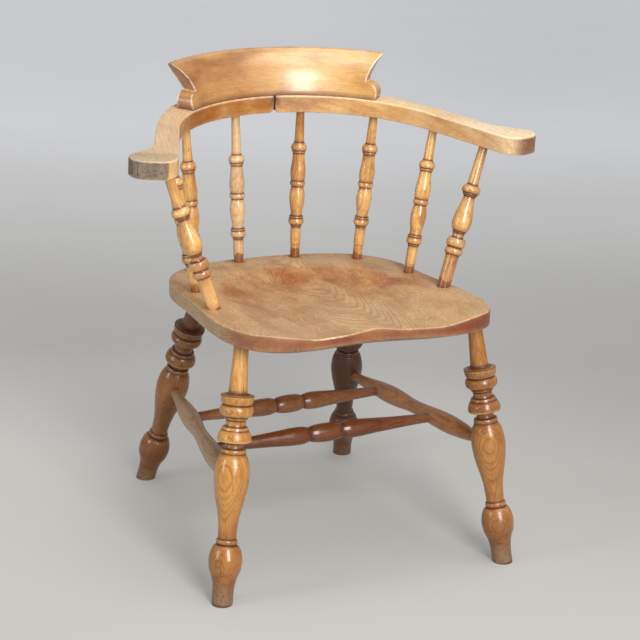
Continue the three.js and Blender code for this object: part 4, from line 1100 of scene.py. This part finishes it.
def buildFloor():
    bm = bmesh.new()
    bmesh.ops.create_grid(bm, x_segments=8, y_segments=8, size=studio["floorSize"] / 2)
    mesh = bpy.data.meshes.new("studioFloor")
    bm.to_mesh(mesh)
    bm.free()
    floor = bpy.data.objects.new("studioFloor", mesh)
    bpy.context.scene.collection.objects.link(floor)
    material, tree = emptyMaterial("studioFloorPaint")
    coords = newNode(tree, "TexCoord").outputs["Object"]
    ways = [newNode(tree, "VectorMath", {0: coords, 1: way}, operation="DOT_PRODUCT")
            for way in (photoAhead, photoRight)]
    behind, beside = [way.outputs["Value"] for way in ways]

    def fadeOver(value, stretch, **sockets):
        limits = {"Value": value, "From Min": stretch[0], "From Max": stretch[1], **sockets}
        return newNode(tree, "MapRange", limits, interpolation_type="SMOOTHSTEP").outputs[0]

    sweep = toneRamp(tree, ranged(tree, behind, *studio["sweepStretch"], 0.0, 1.0), studio["sweep"])
    nearChair = maths(tree, "MULTIPLY", ranged(tree, behind, *studio["nearStretch"], 0.0, 1.0),
                      ranged(tree, behind, *studio["farStretch"], 1.0, studio["farShare"]))
    shaded = maths(tree, "MULTIPLY", fadeOver(beside, studio["rightStretch"]), nearChair)
    mottle = ranged(tree, noiseAt(tree, coords, studio["mottleScale"], 3.0, 0.6), 0.3, 0.7, *studio["mottle"])
    shade = maths(tree, "MULTIPLY", ranged(tree, shaded, 0.0, 1.0, 1.0, studio["rightShade"]), mottle)
    colour = mixed(tree, 1.0, sweep, greyOf(tree, shade), "MULTIPLY")
    lit = mixed(tree, 1.0, colour, (studio["lit"], studio["lit"], studio["lit"], 1.0), "MULTIPLY")
    near = newNode(tree, "BsdfPrincipled", {"Base Color": lit, "Roughness": studio["roughness"]}).outputs[0]
    far = newNode(tree, "Emission", {"Color": colour, "Strength": 1.0}).outputs[0]
    # the camera sees the floor glow with its own colour: fully far off, as a backdrop, and by a share near
    # the chair, a painted light that lifts the chair's shadow
    glowShare = fadeOver(behind, studio["glowStretch"], **{"To Min": studio["glowShare"]})
    seen = newNode(tree, "LightPath").outputs["Is Camera Ray"]
    surface = newNode(tree, "MixShader", {0: maths(tree, "MULTIPLY", glowShare, seen), 1: near, 2: far}).outputs[0]
    newNode(tree, "OutputMaterial", {"Surface": surface})
    mesh.materials.append(material)


def addLamp(name, target, direction, distance, size, power, colour):
    lamp = bpy.data.lights.new(name, "AREA")
    lamp.shape = "RECTANGLE"
    lamp.size, lamp.size_y = size
    lamp.energy = power
    lamp.color = colour
    holder = bpy.data.objects.new(name, lamp)
    holder.location = Vector(target) + Vector(direction).normalized() * distance
    holder.rotation_euler = (-Vector(direction)).to_track_quat("-Z", "Y").to_euler()
    bpy.context.scene.collection.objects.link(holder)


def buildWorld():
    world = bpy.data.worlds.new("studioWorld")
    bpy.context.scene.world = world
    world.use_nodes = True
    tree = world.node_tree
    tree.nodes.clear()
    lit, shown = [newNode(tree, "Background", {"Color": colour, "Strength": strength}).outputs[0]
                  for colour, strength in ((studio["worldColour"], studio["worldStrength"]),
                                           (paint(studio["shownColour"]), studio["shownStrength"]))]
    paths = newNode(tree, "LightPath")
    seen = maths(tree, "MAXIMUM", paths.outputs["Is Camera Ray"],
                 maths(tree, "MAXIMUM", paths.outputs["Is Glossy Ray"], paths.outputs["Is Transmission Ray"]))
    surface = newNode(tree, "MixShader", {0: seen, 1: lit, 2: shown}).outputs[0]
    newNode(tree, "OutputWorld", {"Surface": surface})


def buildCamera():
    p = photoCamera
    ahead = photoAhead * math.cos(p["pitch"]) - Vector((0, 0, math.sin(p["pitch"])))
    up = photoRight.cross(ahead)
    across = photoRight * math.cos(p["roll"]) + up * math.sin(p["roll"])
    upward = up * math.cos(p["roll"]) - photoRight * math.sin(p["roll"])
    camera = bpy.data.cameras.new("photoCamera")
    camera.sensor_width = p["sensor"]
    camera.lens = p["focal"] * p["sensor"] / p["frame"]
    camera.clip_end = p["clipEnd"]
    holder = bpy.data.objects.new("photoCamera", camera)
    facing = Matrix((across, upward, -ahead)).transposed()
    holder.matrix_world = Matrix.Translation(cameraSpot) @ facing.to_4x4()
    bpy.context.scene.collection.objects.link(holder)
    bpy.context.scene.camera = holder


buildFloor()
buildWorld()
buildCamera()
for name, lamp in lamps.items():
    addLamp(name, **lamp)
bpy.context.scene.view_settings.view_transform = "Standard"
print("studio lit")
